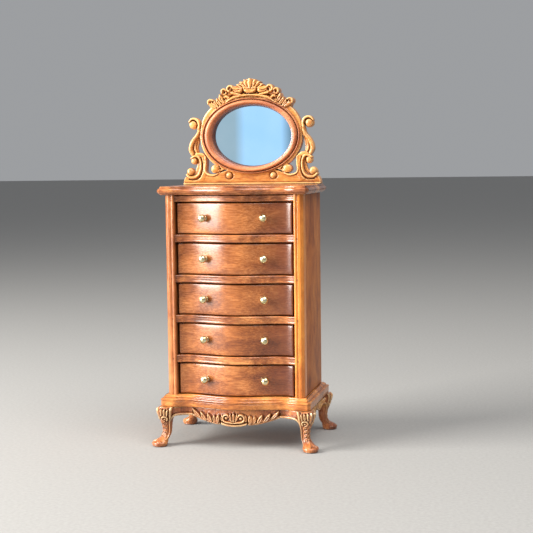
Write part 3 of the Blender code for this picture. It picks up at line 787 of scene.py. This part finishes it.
def surface_net(field, origin, step):
    """A closed skin where the field passes zero: a point for each cell it crosses, a quad for each edge."""
    cells = tuple(n - 1 for n in field.shape)
    total = np.zeros((3, math.prod(cells)))
    count = np.zeros(math.prod(cells))
    crossings = []
    for axis in range(3):
        lower = field.take(range(field.shape[axis] - 1), axis)
        upper = field.take(range(1, field.shape[axis]), axis)
        spots = np.argwhere((lower > 0.0) != (upper > 0.0))
        first, second = lower[tuple(spots.T)], upper[tuple(spots.T)]
        place = spots.astype(float)
        place[:, axis] += first / (first - second)
        others = [other for other in range(3) if other != axis]
        around = []
        for back in ((1, 1), (0, 1), (0, 0), (1, 0)):
            cell = spots.copy()
            cell[:, others] -= back
            around.append(np.ravel_multi_index(tuple(cell.T), cells))
            count += np.bincount(around[-1], minlength=count.size)
            for part in range(3):
                total[part] += np.bincount(around[-1], place[:, part], count.size)
        crossings.append((np.stack(around, 1), (first > 0.0) != (axis == 1)))
    used = count > 0
    number = np.cumsum(used) - 1
    points = (total[:, used] / count[used]).T * np.array(step) + np.array(origin)
    quads = [np.where(flip[:, None], number[around], number[around][:, ::-1]) for around, flip in crossings]
    return points, np.concatenate(quads).tolist()


def eased(value, start, run):
    """0 up to start, 1 past start + run, and a smooth rise between."""
    part = np.clip((value - start) / run, 0.0, 1.0)
    return part * part * (3.0 - 2.0 * part)


def carved_piece(name, node, points, faces, finish, sharp=70, rounds=14, depth=0.16):
    """A piece of carved wood in a node's place, with its hollows and ridges marked for the finish to paint
    shade into the hollows and wear with highlight onto the ridges.
    """
    make_piece(name, points, faces, finish, "carved_wood", replaces=(node,), sharp=sharp,
               marks=lambda mesh: hollow_marks(mesh, rounds, depth))


# ---------------------------------------------------------------- mirror, stand and crest

def ellipse_loop(axes, y):
    turns = np.arange(OVAL_STEPS) * math.tau / OVAL_STEPS
    return [(axes[0] * math.sin(a), y, MIRROR_Z + axes[1] * math.cos(a)) for a in turns]


def ring_hollows_and_painted_shade(mesh):
    """The hollows of the ring, with painted shade on the slope down to the glass, darker towards its foot."""
    marks = hollow_marks(mesh, 10, 0.12)
    depth = np.array([vert.co.y for vert in mesh.vertices]) / MM
    # Painted shade on the slope down to the glass, deeper towards its foot.
    marks["hollow"] = np.maximum(marks["hollow"], np.clip((depth - 14.3) / 2.6, 0.0, 0.7))
    return marks


def make_oval_frame(finish):
    """The moulded ring: a fine outer bead, a groove, a bold round member and a slope down to the glass."""
    behind = node_box("mirror_glass")[0].y - 0.05
    section = [
        (0.0, 18.1), (0.02, 17.4), (0.05, 16.6), (0.09, 15.5), (0.13, 14.6), (0.18, 13.8), (0.25, 13.1),
        (0.33, 12.75), (0.42, 12.6), (0.5, 12.65), (0.57, 12.85), (0.62, 13.2), (0.66, 13.7), (0.69, 14.15),
        (0.715, 14.15), (0.735, 13.75), (0.765, 13.35), (0.8, 13.2), (0.835, 13.35), (0.865, 13.8),
        (0.885, 14.2)]
    section = smooth_curve(section, 3).tolist()
    spigot = (HOLE[0] - 0.15 - SIGHT[0]) / (RING_OUTSIDE[0] - SIGHT[0])
    section = [(0.0, behind)] + section + [(0.89, 14.35), (spigot, 14.35), (spigot, behind)]
    loops = []
    for angle in np.arange(RING_STEPS) * math.tau / RING_STEPS:
        loop = []
        for outwards, y in section:
            wide = SIGHT[0] + outwards * (RING_OUTSIDE[0] - SIGHT[0])
            tall = SIGHT[1] + outwards * (RING_OUTSIDE[1] - SIGHT[1])
            x = wide * math.sin(angle) + SIGHT_SHIFT * (1.0 - outwards)
            loop.append((x, y, MIRROR_Z + tall * math.cos(angle)))
        loops.append(loop)
    make_piece("moulded_ring", *skinned(loops, ring=True), finish["ring"], "carved_wood",
               replaces=("oval_frame",), sharp=50, marks=ring_hollows_and_painted_shade)


def oval_disc(name, node, front_rim, back_rim, finish, slot, sharp):
    """An oval board in a node's place; its rims are (trim, depth from the face) pairs, from front to back."""
    low, high = node_box(node)
    wide, tall = high.x, (high.z - low.z) / 2.0
    rims = [(trim, low.y + depth) for trim, depth in front_rim]
    rims += [(trim, high.y - depth) for trim, depth in back_rim]
    loops = [ellipse_loop((wide - trim, tall - trim), y) for trim, y in rims]
    make_piece(name, *skinned(loops), finish, slot, replaces=(node,), sharp=sharp)


def make_glass(finish):
    """The looking glass with a ground edge, and the thin oval board behind it."""
    oval_disc("looking_glass", "mirror_glass", ((0.25, 0.0), (0.0, 0.25)), ((0.0, 0.15), (0.15, 0.0)),
              finish["mirror"], "mirror", sharp=20)
    oval_disc("glass_backing", "mirror_backing", ((0.0, 0.0),), ((0.0, 0.3), (0.1, 0.08), (0.35, 0.0)),
              finish["inner_x"], "inner_wood", sharp=35)


def oval_inside(board, axes, fullness=2.0):
    """Roughly how far inside an oval round the mirror's middle each point of a carving is."""
    across = board.x / axes[0]
    up = np.abs(board.z - MIRROR_Z) / axes[1]
    share = np.maximum(across ** fullness + up ** fullness, 1e-9) ** (1.0 / fullness)
    return (1.0 - share) * np.hypot(board.x, board.z - MIRROR_Z) / share


def arc_path(centre, radius, start, end, half, steps=8):
    """Points (x, z, half width) round a centre; angles are from the top, growing outwards."""
    turns = np.radians(np.linspace(start, end, steps + 1))
    return [(centre[0] + radius * math.sin(a), centre[1] + radius * math.cos(a), half) for a in turns]


def make_mirror_stand(finish):
    """The fretwork board: the oval plate, the hollowed foot, and scrolls down each side."""
    board = Carving(33.2, STAND_LOW.z, STAND_HIGH.z, 0.21)
    bottom = STAND_LOW.z
    behind = -20.0
    outline = [
        (behind, 0.0), (32.6, 0.0), (32.6, 1.4), (32.2, 2.6), (31.6, 3.6), (30.2, 3.9), (27.5, 3.0),
        (25.5, 4.8), (24.0, 6.5), (21.8, 6.2), (20.6, 4.9), (18.4, 4.3), (16.3, 5.0), (15.2, 7.2),
        (13.0, 9.1), (7.0, 6.9), (behind, 5.9)]
    foot = [(x, bottom + up) for x, up in outline]
    board.flat(foot, 0.0)
    fullness = np.where(board.z > MIRROR_Z, 2.45, 2.1)
    plate = np.minimum(oval_inside(board, PLATE, fullness), -oval_inside(board, HOLE))
    board.raise_face(plate, 0.35 * np.sqrt(np.clip(plate, 0.0, 0.7) / 0.7) - 0.1)
    board.solid = np.maximum(board.solid, plate)

    # The S scroll: a hooked curl over a ball, a thin neck, and a broad hollowed body.
    board.ridge([
        (25.0, 141.5, 0.7), (25.3, 139.2, 1.0), (26.2, 137.0, 1.4), (27.1, 135.0, 1.9), (27.6, 133.0, 2.05),
        (27.4, 131.2, 2.05), (26.8, 129.9, 1.7)], -1.0, 0.25)
    board.ridge([
        (24.9, 142.6, 0.55), (24.9, 140.4, 0.65), (25.9, 138.4, 0.85), (27.6, 136.2, 0.95),
        (28.7, 133.9, 0.95), (28.9, 131.8, 0.95), (28.1, 129.9, 0.8)], 0.0, 0.75)
    board.ridge([
        (25.6, 137.4, 0.3), (26.7, 134.9, 0.55), (26.9, 132.6, 0.6), (26.3, 130.9, 0.5)], -0.7, 0.5)
    board.ball(27.5, 143.7, 2.2, -0.9, 0.1)
    board.ball(27.6, 143.7, 1.75, 0.0, 0.9)
    board.ridge([
        (29.3, 145.0, 0.4), (28.3, 146.2, 0.5), (26.7, 146.4, 0.55), (25.2, 145.5, 0.65),
        (24.6, 143.8, 0.6), (24.8, 142.0, 0.6)], 0.2, 0.8)
    board.cut(arc_path((27.4, 143.6), 1.95, -60, 50, 0.3), 0.55)
    board.cut([(25.6, 143.3, 0.55), (25.7, 142.7, 0.45)], 1.2)

    # The C scroll below it, with a ball in each end, and the broad stem beside it.
    board.ridge([
        (26.0, 129.6, 0.9), (24.0, 129.3, 1.2), (22.8, 127.8, 1.35), (22.7, 125.4, 1.35),
        (22.9, 122.8, 1.3), (23.2, 120.6, 1.6), (24.0, 118.8, 1.6)], -0.05, 0.3)
    board.ridge([
        (25.2, 128.6, 0.7), (24.9, 126.2, 1.0), (25.1, 123.6, 1.25), (26.0, 121.2, 1.35),
        (27.8, 119.9, 1.0)], -0.75, 0.2)
    board.ridge([
        (28.6, 128.1, 0.5), (27.3, 128.9, 0.6), (25.6, 128.9, 0.6), (24.4, 127.4, 0.5), (24.0, 125.2, 0.5),
        (24.3, 122.6, 0.55), (25.4, 120.3, 0.6), (27.3, 119.2, 0.65), (29.4, 119.2, 0.65),
        (30.9, 120.4, 0.5)], 0.1, 0.7)
    board.ball(27.3, 126.8, 1.7, -0.7, 0.1)
    board.ball(27.3, 126.8, 1.4, 0.1, 0.8)
    board.cut([(25.9, 127.5, 0.4), (25.9, 126.0, 0.5)], 0.7)
    board.ball(29.2, 121.7, 1.9, -0.7, 0.1)
    board.ball(29.2, 121.8, 1.55, 0.1, 0.8)
    board.cut([
        (24.0, 128.4, 0.3), (23.5, 126.6, 0.35), (23.35, 124.4, 0.35), (23.6, 121.8, 0.4),
        (24.8, 119.3, 0.45), (27.0, 118.1, 0.4), (29.8, 118.3, 0.35)], 0.9)
    board.ridge([
        (21.9, 128.6, 0.35), (21.8, 126.0, 0.4), (22.1, 123.4, 0.4), (22.0, 121.8, 0.4), (20.9, 120.6, 0.4),
        (18.4, 120.0, 0.45), (16.4, 120.7, 0.4), (15.3, 122.2, 0.35)], 0.1, 0.45)

    # The inner scroll that carries the ring, with slits between it and the foot.
    board.ball(17.2, 122.9, 1.95, 0.0, 0.9)
    board.ridge([(16.6, 124.2, 0.9), (14.8, 123.9, 0.8), (13.2, 122.9, 0.6)], -0.1, 0.5)
    board.cut([(15.3, 124.3, 0.2), (14.4, 122.9, 0.3)], 0.8)
    board.cut([(11.8, 122.4, 0.2), (13.2, 122.2, 0.32), (14.6, 121.6, 0.25)], 5.0)
    board.cut([(15.4, 121.5, 0.3), (16.8, 120.9, 0.35), (18.2, 120.9, 0.2)], 0.6)

    # Round bosses in sunk cups, and the strip along the bottom.
    board.pit(10.5, 119.9, 2.3, 0.9)
    board.ball(10.5, 119.9, 1.45, -0.2, 1.1)
    board.ridge([(behind, bottom + 0.4, 0.5), (32.4, bottom + 0.4, 0.5)], 0.0, 0.4, solid=False)
    board.cut([(behind, bottom + 0.95, 0.22), (32.6, bottom + 0.95, 0.22)], 0.25)
    board.soften(0.03, 1.9)
    thin = np.clip((board.x - 24.2) * 2.0, 0.0, 1.0) * np.clip((board.z - bottom - 5.0) / 2.0, 0.0, 1.0)
    points, faces = board.block(STAND_BACK - STAND_FRONT, back=1.9 * thin)
    points[:, 1] += STAND_FRONT
    carved_piece("fretwork_stand", "mirror_stand", points, faces, finish["carved"])


def make_crest(finish):
    """The crest: a fan over a bud, rolled leaves and curls down each side, and a horn at each end."""
    board = Carving(22.2, CREST_LOW.z, CREST_HIGH.z, 0.15)
    root = [(23.4 * math.sin(a), MIRROR_Z + 17.6 * math.cos(a)) for a in np.radians(np.linspace(52, 0, 14))]
    edge = [
        (-8.0, 164.5), (0.0, 164.4), (1.6, 164.1), (3.2, 163.3), (4.8, 162.3), (6.3, 161.3), (8.0, 160.7),
        (9.6, 160.5), (10.8, 159.5), (12.2, 159.0), (13.4, 158.2), (13.9, 157.0), (15.2, 155.4),
        (16.4, 154.2), (18.6, 154.0), (20.0, 153.2), (19.4, 152.0)]
    board.flat(edge + root + [(-8.0, MIRROR_Z + 17.0)], -0.4)

    # The vine that lies along the ring.
    board.ridge([
        (-3.0, 156.8, 0.45), (0.0, 156.9, 0.45), (4.0, 156.6, 0.5), (7.4, 155.9, 0.6), (9.6, 154.9, 0.55),
        (11.0, 153.9, 0.3)], 0.1, 0.7)
    board.ridge([(10.2, 154.4, 0.3), (12.2, 153.3, 0.6), (14.2, 151.9, 0.55), (15.6, 150.5, 0.3)], 0.0, 0.6)
    board.ridge([
        (14.6, 151.8, 0.3), (16.6, 150.3, 0.5), (18.4, 148.4, 0.45), (19.8, 146.2, 0.25)], -0.1, 0.5)

    # The fan, its bud and the leaves that lean out from it.
    board.leaf((3.0, 159.6), (6.3, 161.6), 0.95, 0.2, 0.75, 0.12, True, 0.5)
    board.leaf((1.8, 159.8), (4.9, 162.9), 1.05, 0.3, 0.8, 0.1, True, 0.5)
    board.leaf((0.9, 160.0), (2.7, 163.9), 1.05, 0.4, 0.8, 0.05, True, 0.5)
    board.leaf((0.0, 160.0), (0.0, 164.9), 1.15, 0.5, 0.85, 0.0, True, 0.0)
    board.cut([(0.9, 160.6, 0.2), (1.5, 163.4, 0.3)], 0.5)
    board.cut([(1.7, 160.2, 0.2), (3.4, 162.8, 0.3)], 0.5)
    board.cut([(2.5, 159.9, 0.2), (5.0, 161.6, 0.3)], 0.5)
    board.ridge([(-1.2, 158.6, 0.9), (0.0, 158.6, 1.0), (1.2, 158.6, 0.9), (2.3, 159.0, 0.5)], 0.5, 0.8)
    board.cut([(0.0, 157.5, 0.35), (1.6, 157.5, 0.35), (2.8, 158.0, 0.3)], 0.9)
    board.ridge([(1.0, 159.8, 0.4), (2.4, 160.2, 0.5), (3.0, 159.2, 0.35)], 0.5, 0.7)

    # A rolled leaf, two curls and a shell on each side.
    board.ridge([(4.8, 159.1, 1.25), (6.3, 159.5, 1.35), (7.7, 160.0, 0.8)], 0.2, 1.0)
    board.cut([(3.2, 159.7, 0.35), (3.3, 158.3, 0.5), (4.3, 157.5, 0.35), (6.0, 157.4, 0.3)], 1.0)
    board.cut([(4.7, 159.4, 0.2), (6.4, 159.0, 0.3), (7.4, 159.3, 0.2)], 0.45)
    board.ridge([(4.4, 157.0, 0.3), (6.6, 157.5, 0.6), (8.6, 157.9, 0.5)], 0.2, 0.7)
    board.ball(9.1, 159.3, 1.7, 0.0, 0.5)
    board.ridge([
        (8.0, 160.2, 0.35), (9.0, 161.1, 0.5), (10.2, 160.7, 0.55), (10.7, 159.5, 0.5),
        (9.9, 158.6, 0.45)], 0.5, 0.8)
    board.cut([(8.5, 159.5, 0.6), (8.7, 159.1, 0.6)], 1.1)
    board.ball(12.3, 158.3, 1.4, 0.0, 0.4)
    board.ridge([
        (11.3, 159.1, 0.35), (12.3, 159.7, 0.45), (13.3, 159.1, 0.5), (13.4, 157.9, 0.4)], 0.4, 0.8)
    board.cut([(12.1, 158.4, 0.55), (12.2, 158.1, 0.55)], 1.0)
    board.cut([(8.3, 156.9, 0.4), (10.0, 156.4, 0.45), (11.2, 156.9, 0.3)], 1.0)
    board.ridge([(10.2, 155.6, 0.55), (11.2, 156.3, 0.6), (12.3, 155.9, 0.5)], 0.3, 0.8)
    board.leaf((12.4, 153.6), (14.4, 157.4), 1.0, 0.3, 0.9, -0.12, True, 0.5)
    board.cut([(12.2, 156.6, 0.3), (12.6, 155.0, 0.35), (11.7, 154.0, 0.25)], 0.9)
    board.leaf((13.9, 152.6), (15.9, 155.6), 0.85, 0.3, 0.85, -0.1, True, 0.5)
    board.leaf((15.4, 151.7), (17.0, 154.6), 0.75, 0.3, 0.8, -0.1, True, 0.5)

    # The horn at the end, curled up at its tip.
    board.ridge([(16.4, 151.4, 0.5), (17.6, 152.1, 0.95), (18.8, 153.1, 1.1), (19.0, 154.2, 0.9)], 0.1, 0.8)
    board.ridge([(17.6, 154.6, 0.4), (18.8, 155.0, 0.45), (19.9, 154.4, 0.5), (19.9, 153.1, 0.4)], 0.4, 0.8)
    board.cut([(18.8, 153.8, 0.5), (18.9, 153.6, 0.5)], 0.9)
    board.soften(0.05, 2.3)
    points, faces = board.block(STAND_BACK - CREST_FRONT)
    points[:, 1] += CREST_FRONT
    carved_piece("carved_crest", "crest_carving", points, faces, finish["carved"], sharp=75, rounds=16)


# ---------------------------------------------------------------- aprons and legs

APRON_PROUD = 1.5
APRON_DEPTH = APRON_PROUD + 0.8
APRON_LOBE_Z = 9.95
APRON_NOTCH_X = 6.3
APRON_WING_X = 20.0
APRON_FLAT_Z = 13.75
BRACKET = 3.2


def bracket_fall(across, start):
    """How far the lower edge drops where it turns down into the leg, as a quarter round."""
    part = np.clip((across - start) / BRACKET, 0.0, 1.0)
    return 2.6 * (1.0 - np.sqrt(1.0 - part ** 2))


def front_apron_edge(x):
    """Lower edge of the front apron: a middle lobe, a notch, a long lobe, a flat and a bracket."""
    across = np.abs(x)
    lobe = APRON_LOBE_Z + (across / APRON_NOTCH_X) ** 2
    part = np.clip((across - APRON_NOTCH_X) / (APRON_WING_X - APRON_NOTCH_X), 0.0, 1.0)
    wing_low = APRON_LOBE_Z + 0.7
    wing = wing_low + (APRON_FLAT_Z - wing_low) * part ** 1.9
    return np.where(across < APRON_NOTCH_X, lobe, wing) - bracket_fall(across, 26.0)


def side_apron_edge(y):
    """Lower edge of a side apron: a wave that dies away towards the legs."""
    across = np.abs(y)
    wave = 1.3 * np.cos(math.pi * y / 8.0) * np.maximum(0.0, 1.0 - across / 24.0)
    return 13.0 + wave - 0.6 * bracket_fall(across, 15.0)


def apron_blank(half_width, top, edge):
    """A carving whose lower edge follows a curve, with the ground sunk and a bead along that edge."""
    board = Carving(half_width, 9.0, top, 0.16)
    low = edge(board.x)
    inside = np.minimum(np.minimum(board.z - low, top - board.z), half_width - board.x)
    board.solid = np.maximum(board.solid, inside)
    board.face = np.full(board.x.shape, -0.35)
    places = np.linspace(0.0, half_width, 40)
    bead = [(x, float(edge(x)) + 0.48, 0.52) for x in places]
    board.ridge(bead, -0.1, 0.6, solid=False)
    board.cut([(x, z + 0.8, 0.28) for x, z, _ in bead], 0.25)
    return board


def make_front_apron(finish):
    """The front apron: a shell between scrolls in the middle lobe and leaves climbing out along each wing."""
    board = apron_blank(29.4, APRON_TOP, front_apron_edge)
    board.ridge([
        (0.3, 11.7, 0.3), (1.6, 11.9, 0.45), (3.0, 12.0, 0.45), (4.4, 12.5, 0.5), (4.9, 13.9, 0.5),
        (4.0, 15.1, 0.55), (2.7, 15.2, 0.5), (2.3, 14.3, 0.4)], 0.15, 0.9, solid=False)
    board.ball(3.3, 13.8, 0.7, 0.1, 0.8, solid=False)
    board.cut(arc_path((3.3, 13.8), 1.0, -120, 120, 0.22), 0.5)
    board.leaf((0.0, 12.3), (0.0, 16.3), 0.75, 0.1, 0.9)
    board.leaf((0.9, 12.5), (1.5, 15.9), 0.6, 0.0, 0.8, -0.08)
    board.cut([(0.65, 13.0, 0.25), (0.8, 15.6, 0.25)], 0.5)
    board.cut([(0.0, 11.2, 0.25), (3.4, 11.4, 0.25), (5.2, 12.0, 0.2)], 0.4)
    board.cut([(6.2, 10.8, 0.4), (6.1, 12.4, 0.35), (6.1, 13.6, 0.2)], 1.0)
    board.leaf((5.5, 12.4), (5.3, 15.2), 0.6, 0.0, 0.8)
    for root, tip, width in (((7.4, 11.6), (7.0, 15.0), 1.0), ((9.0, 11.8), (9.1, 14.8), 0.8),
                             ((10.6, 11.7), (12.3, 15.3), 1.05), ((13.3, 12.2), (15.8, 15.8), 1.0),
                             ((16.4, 13.5), (19.6, 16.9), 0.85)):
        board.leaf(root, tip, width, 0.1, 1.1, -0.06)
    for x in (8.1, 12.4, 15.4):
        board.ball(x, float(front_apron_edge(x)) + 1.3, 0.65, 0.1, 0.8, solid=False)
    for x, z in ((9.9, 12.8), (12.6, 14.0), (15.9, 14.4), (19.6, 15.0)):
        board.cut([(x, z - 1.0, 0.2), (x + 0.3, z + 0.6, 0.35)], 0.7)
    board.soften(0.045, 2.1)
    points, faces = board.block(APRON_DEPTH)
    flare = 1.35 * eased(np.abs(points[:, 0]), 21.5, 6.5)
    points[:, 1] += front_y(points[:, 0], APRON_PROUD + flare)
    carved_piece("carved_front_apron", "apron_front", points, faces, finish["leg"])


def make_side_aprons(finish):
    """Side aprons with a palmette in the middle and upright leaves leaning away from it."""
    board = apron_blank(18.6, SIDE_APRON_HIGH.z, side_apron_edge)
    board.ball(0.0, 15.0, 0.8, 0.0, 0.7, solid=False)
    board.leaf((0.0, 15.2), (0.0, 17.6), 0.5, 0.0, 0.7)
    for place in np.arange(6):
        along = 1.7 + 2.45 * place
        low = float(side_apron_edge(along)) + 0.9
        board.leaf((along, low), (along + 1.5, 17.0 - 0.1 * place), 0.85, 0.0, 0.95, 0.1 * (-1) ** place)
        board.ball(along + 1.5, low + 0.3, 0.45, 0.0, 0.55, solid=False)
    board.soften(0.045, 2.1)
    points, faces = board.block(APRON_DEPTH)
    proud = SIDE_APRON_HIGH.x + 1.2 * eased(np.abs(points[:, 0]), 11.5, 6.5)
    for side, name in ((-1.0, "left"), (1.0, "right")):
        placed = np.column_stack([side * (proud - points[:, 1]), points[:, 0], points[:, 2]])
        carved_piece(f"carved_side_apron_{name}", f"apron_{name}", placed, faces, finish["carved"])


# A cabriole leg from the foot up: height, place on the diagonal, half width, squareness.
LEG_SECTIONS = [
    (0.0, 34.2, 2.7, 2.0), (0.25, 34.25, 3.1, 2.0), (0.8, 34.3, 3.4, 2.0), (1.5, 34.2, 3.4, 2.0),
    (2.2, 33.9, 3.2, 2.0), (3.0, 33.3, 2.6, 2.0), (3.8, 32.5, 2.15, 2.1), (5.2, 31.7, 1.9, 2.2),
    (7.2, 31.4, 1.95, 2.3), (9.2, 31.45, 2.1, 2.5), (11.2, 31.55, 2.5, 2.7), (13.1, 31.65, 3.0, 2.9),
    (15.0, 31.8, 3.35, 3.1), (16.5, 31.7, 3.5, 3.3), (17.6, 31.4, 3.5, 3.5)]
LEG_SHIFT = 10.3
UNROLLED = 3.0
FULL_RELIEF_HALF = 3.2


def knee_carving():
    """Relief of a leg laid flat: across is the turn from its ridge times a fixed radius, up is height."""
    board = Carving(math.pi * UNROLLED, 0.0, LEG_TOP, 0.08)
    board.face = np.zeros(board.x.shape)
    board.ridge([
        (4.55, 17.4, 0.5), (4.5, 14.0, 0.5), (4.45, 10.0, 0.45), (4.55, 6.0, 0.4),
        (4.8, 3.2, 0.25)], 0.0, 0.55, solid=False)
    board.cut([(3.75, 17.2, 0.42), (3.7, 12.0, 0.42), (3.75, 7.0, 0.36), (4.0, 3.8, 0.25)], 0.5)
    board.pit(2.1, 12.2, 1.5, 0.5)
    board.ridge(arc_path((2.1, 12.2), 1.15, -170, 120, 0.42, 12), 0.05, 0.75, solid=False)
    board.ball(2.1, 12.1, 0.62, -0.1, 0.65, solid=False)
    for root, tip, width in (((0.0, 12.4), (0.0, 17.4), 0.8), ((1.0, 13.9), (1.2, 17.2), 0.62),
                             ((2.2, 14.0), (2.4, 17.0), 0.6), ((3.1, 13.6), (3.5, 16.6), 0.45)):
        board.leaf(root, tip, width, 0.1, 0.75, 0.04)
    for x, z in ((0.75, 16.0), (1.75, 15.8), (2.85, 15.6)):
        board.cut([(x, z - 1.6, 0.2), (x, z + 0.9, 0.34)], 0.55)
    for z, radius in ((10.6, 0.95), (8.6, 0.85), (6.8, 0.7), (5.2, 0.5)):
        board.ball(0.0, z, radius, 0.05, 0.7, solid=False)
        board.leaf((0.3, z + 1.0), (1.9, z - 0.7), 0.5, 0.0, 0.6)
        board.leaf((1.6, z + 0.6), (2.9, z - 0.9), 0.4, 0.0, 0.45)
        board.cut([(0.0, z - 0.95, 0.22), (0.8, z - 1.05, 0.2)], 0.45)
    board.ridge([
        (0.0, 5.0, 0.35), (0.5, 3.6, 0.5), (1.6, 2.6, 0.45), (3.2, 2.2, 0.35)], 0.0, 0.4, solid=False)
    board.cut([(0.0, 3.3, 0.4), (0.0, 2.5, 0.8), (0.9, 2.35, 0.5)], 0.5)
    board.ridge([
        (-1.0, 1.75, 0.45), (0.0, 1.75, 0.45), (3.0, 1.7, 0.4), (6.0, 1.6, 0.3)], 0.0, 0.25, solid=False)
    board.cut([(0.0, 0.75, 0.2), (math.pi * UNROLLED, 0.75, 0.2)], 0.16)
    board.soften(0.04, 2.6)
    return board


def sampled(board, across, up):
    """The face of a carving at any places, by bilinear interpolation."""
    column = np.clip((across - board.across[0]) / board.step, 0, len(board.across) - 1.001)
    row = np.clip((up - board.up[0]) / board.step, 0, len(board.up) - 1.001)
    i, j = column.astype(int), row.astype(int)
    u, v = column - i, row - j
    face = board.face
    low = face[i, j] * (1 - u) + face[i + 1, j] * u
    high = face[i, j + 1] * (1 - u) + face[i + 1, j + 1] * u
    return low * (1 - v) + high * v


def make_legs(finish):
    """Four cabriole legs with carved knees, husks down the ridge and a bead down each inner edge."""
    relief = knee_carving()
    rows = smooth_curve(LEG_SECTIONS, 12)
    rows = rows[np.concatenate([[True], np.diff(rows[:, 0]) > 1e-6])]
    turns = np.linspace(-math.pi, math.pi, 181)[:-1]
    turn, z = np.meshgrid(turns, rows[:, 0])
    place, half, power = (np.repeat(rows[:, i][:, None], len(turns), 1) for i in (1, 2, 3))
    lift = sampled(relief, turn * UNROLLED, z) * half / FULL_RELIEF_HALF
    for side_y, depth in ((-1, "front"), (1, "back")):
        for side_x, across in ((-1, "left"), (1, "right")):
            direction = math.atan2(side_y, side_x) + turn
            east, north = np.cos(direction), np.sin(direction)
            reach = half / (np.abs(east) ** power + np.abs(north) ** power) ** (1.0 / power) + lift
            x = side_x * place + reach * east
            y = side_y * (place - LEG_SHIFT) + reach * north
            loops = np.stack([x, y, z], -1)
            name = f"leg_{depth}_{across}"
            carved_piece("carved_" + name, name, *skinned(loops), finish["leg"], sharp=75, rounds=16,
                         depth=0.14)


# ---------------------------------------------------------------- stage

def stage_sheet(name, corners, material, glossy_only=False):
    mesh = bpy.data.meshes.new(name)
    mesh.from_pydata([tuple(value * MM for value in corner) for corner in corners], [], [(0, 1, 2, 3)])
    mesh.materials.append(material)
    obj = bpy.data.objects.new(name, mesh)
    bpy.context.scene.collection.objects.link(obj)
    if glossy_only:
        obj.visible_camera = False
        obj.visible_diffuse = False
        obj.visible_shadow = False


def glow(name, stops):
    """A glowing card whose colour changes across it."""
    s = Shader(name)
    s.tree.nodes.remove(s.surface)
    spot = s.node("ShaderNodeTexCoord", {}, "Generated")
    colour = s.ramp(s.node("ShaderNodeSeparateXYZ", {"Vector": spot}), stops)
    light = s.node("ShaderNodeEmission", {"Color": colour, "Strength": GLOW_STRENGTH})
    s.tree.links.new(light, s.tree.nodes["Material Output"].inputs["Surface"])
    return s.material


def make_stage():
    """The floor, and the card that only the looking glass and the lacquer see."""
    half = 9000.0
    stage_sheet("floor", [(-half, -half, 0), (half, -half, 0), (half, half, 0), (-half, half, 0)],
                paper_floor("pale_card"))
    y = CAMERA_PLACE.y
    left, right, low, high = -260.0, -50.0, 112.0, 235.0
    grey, sky, dusk = shade(219, 207, 195), shade(240, 248, 255), shade(160, 166, 166)
    stops = [(0.52, grey), (0.565, sky), (0.73, sky), (0.775, dusk)]
    corners = [(left, y, low), (right, y, low), (right, y, high), (left, y, high)]
    stage_sheet("sky_card", corners, glow("sky_card", stops), True)


def main():
    make_camera()
    make_light()
    finish = finishes()
    make_top_board(finish)
    make_base_board(finish)
    make_case_boards(finish)
    make_corner_posts(finish)
    make_rails(finish)
    for number in range(1, DRAWER_COUNT + 1):
        make_drawer(number, finish)
    make_oval_frame(finish)
    make_glass(finish)
    make_mirror_stand(finish)
    make_crest(finish)
    make_front_apron(finish)
    make_side_aprons(finish)
    make_legs(finish)
    make_stage()


main()
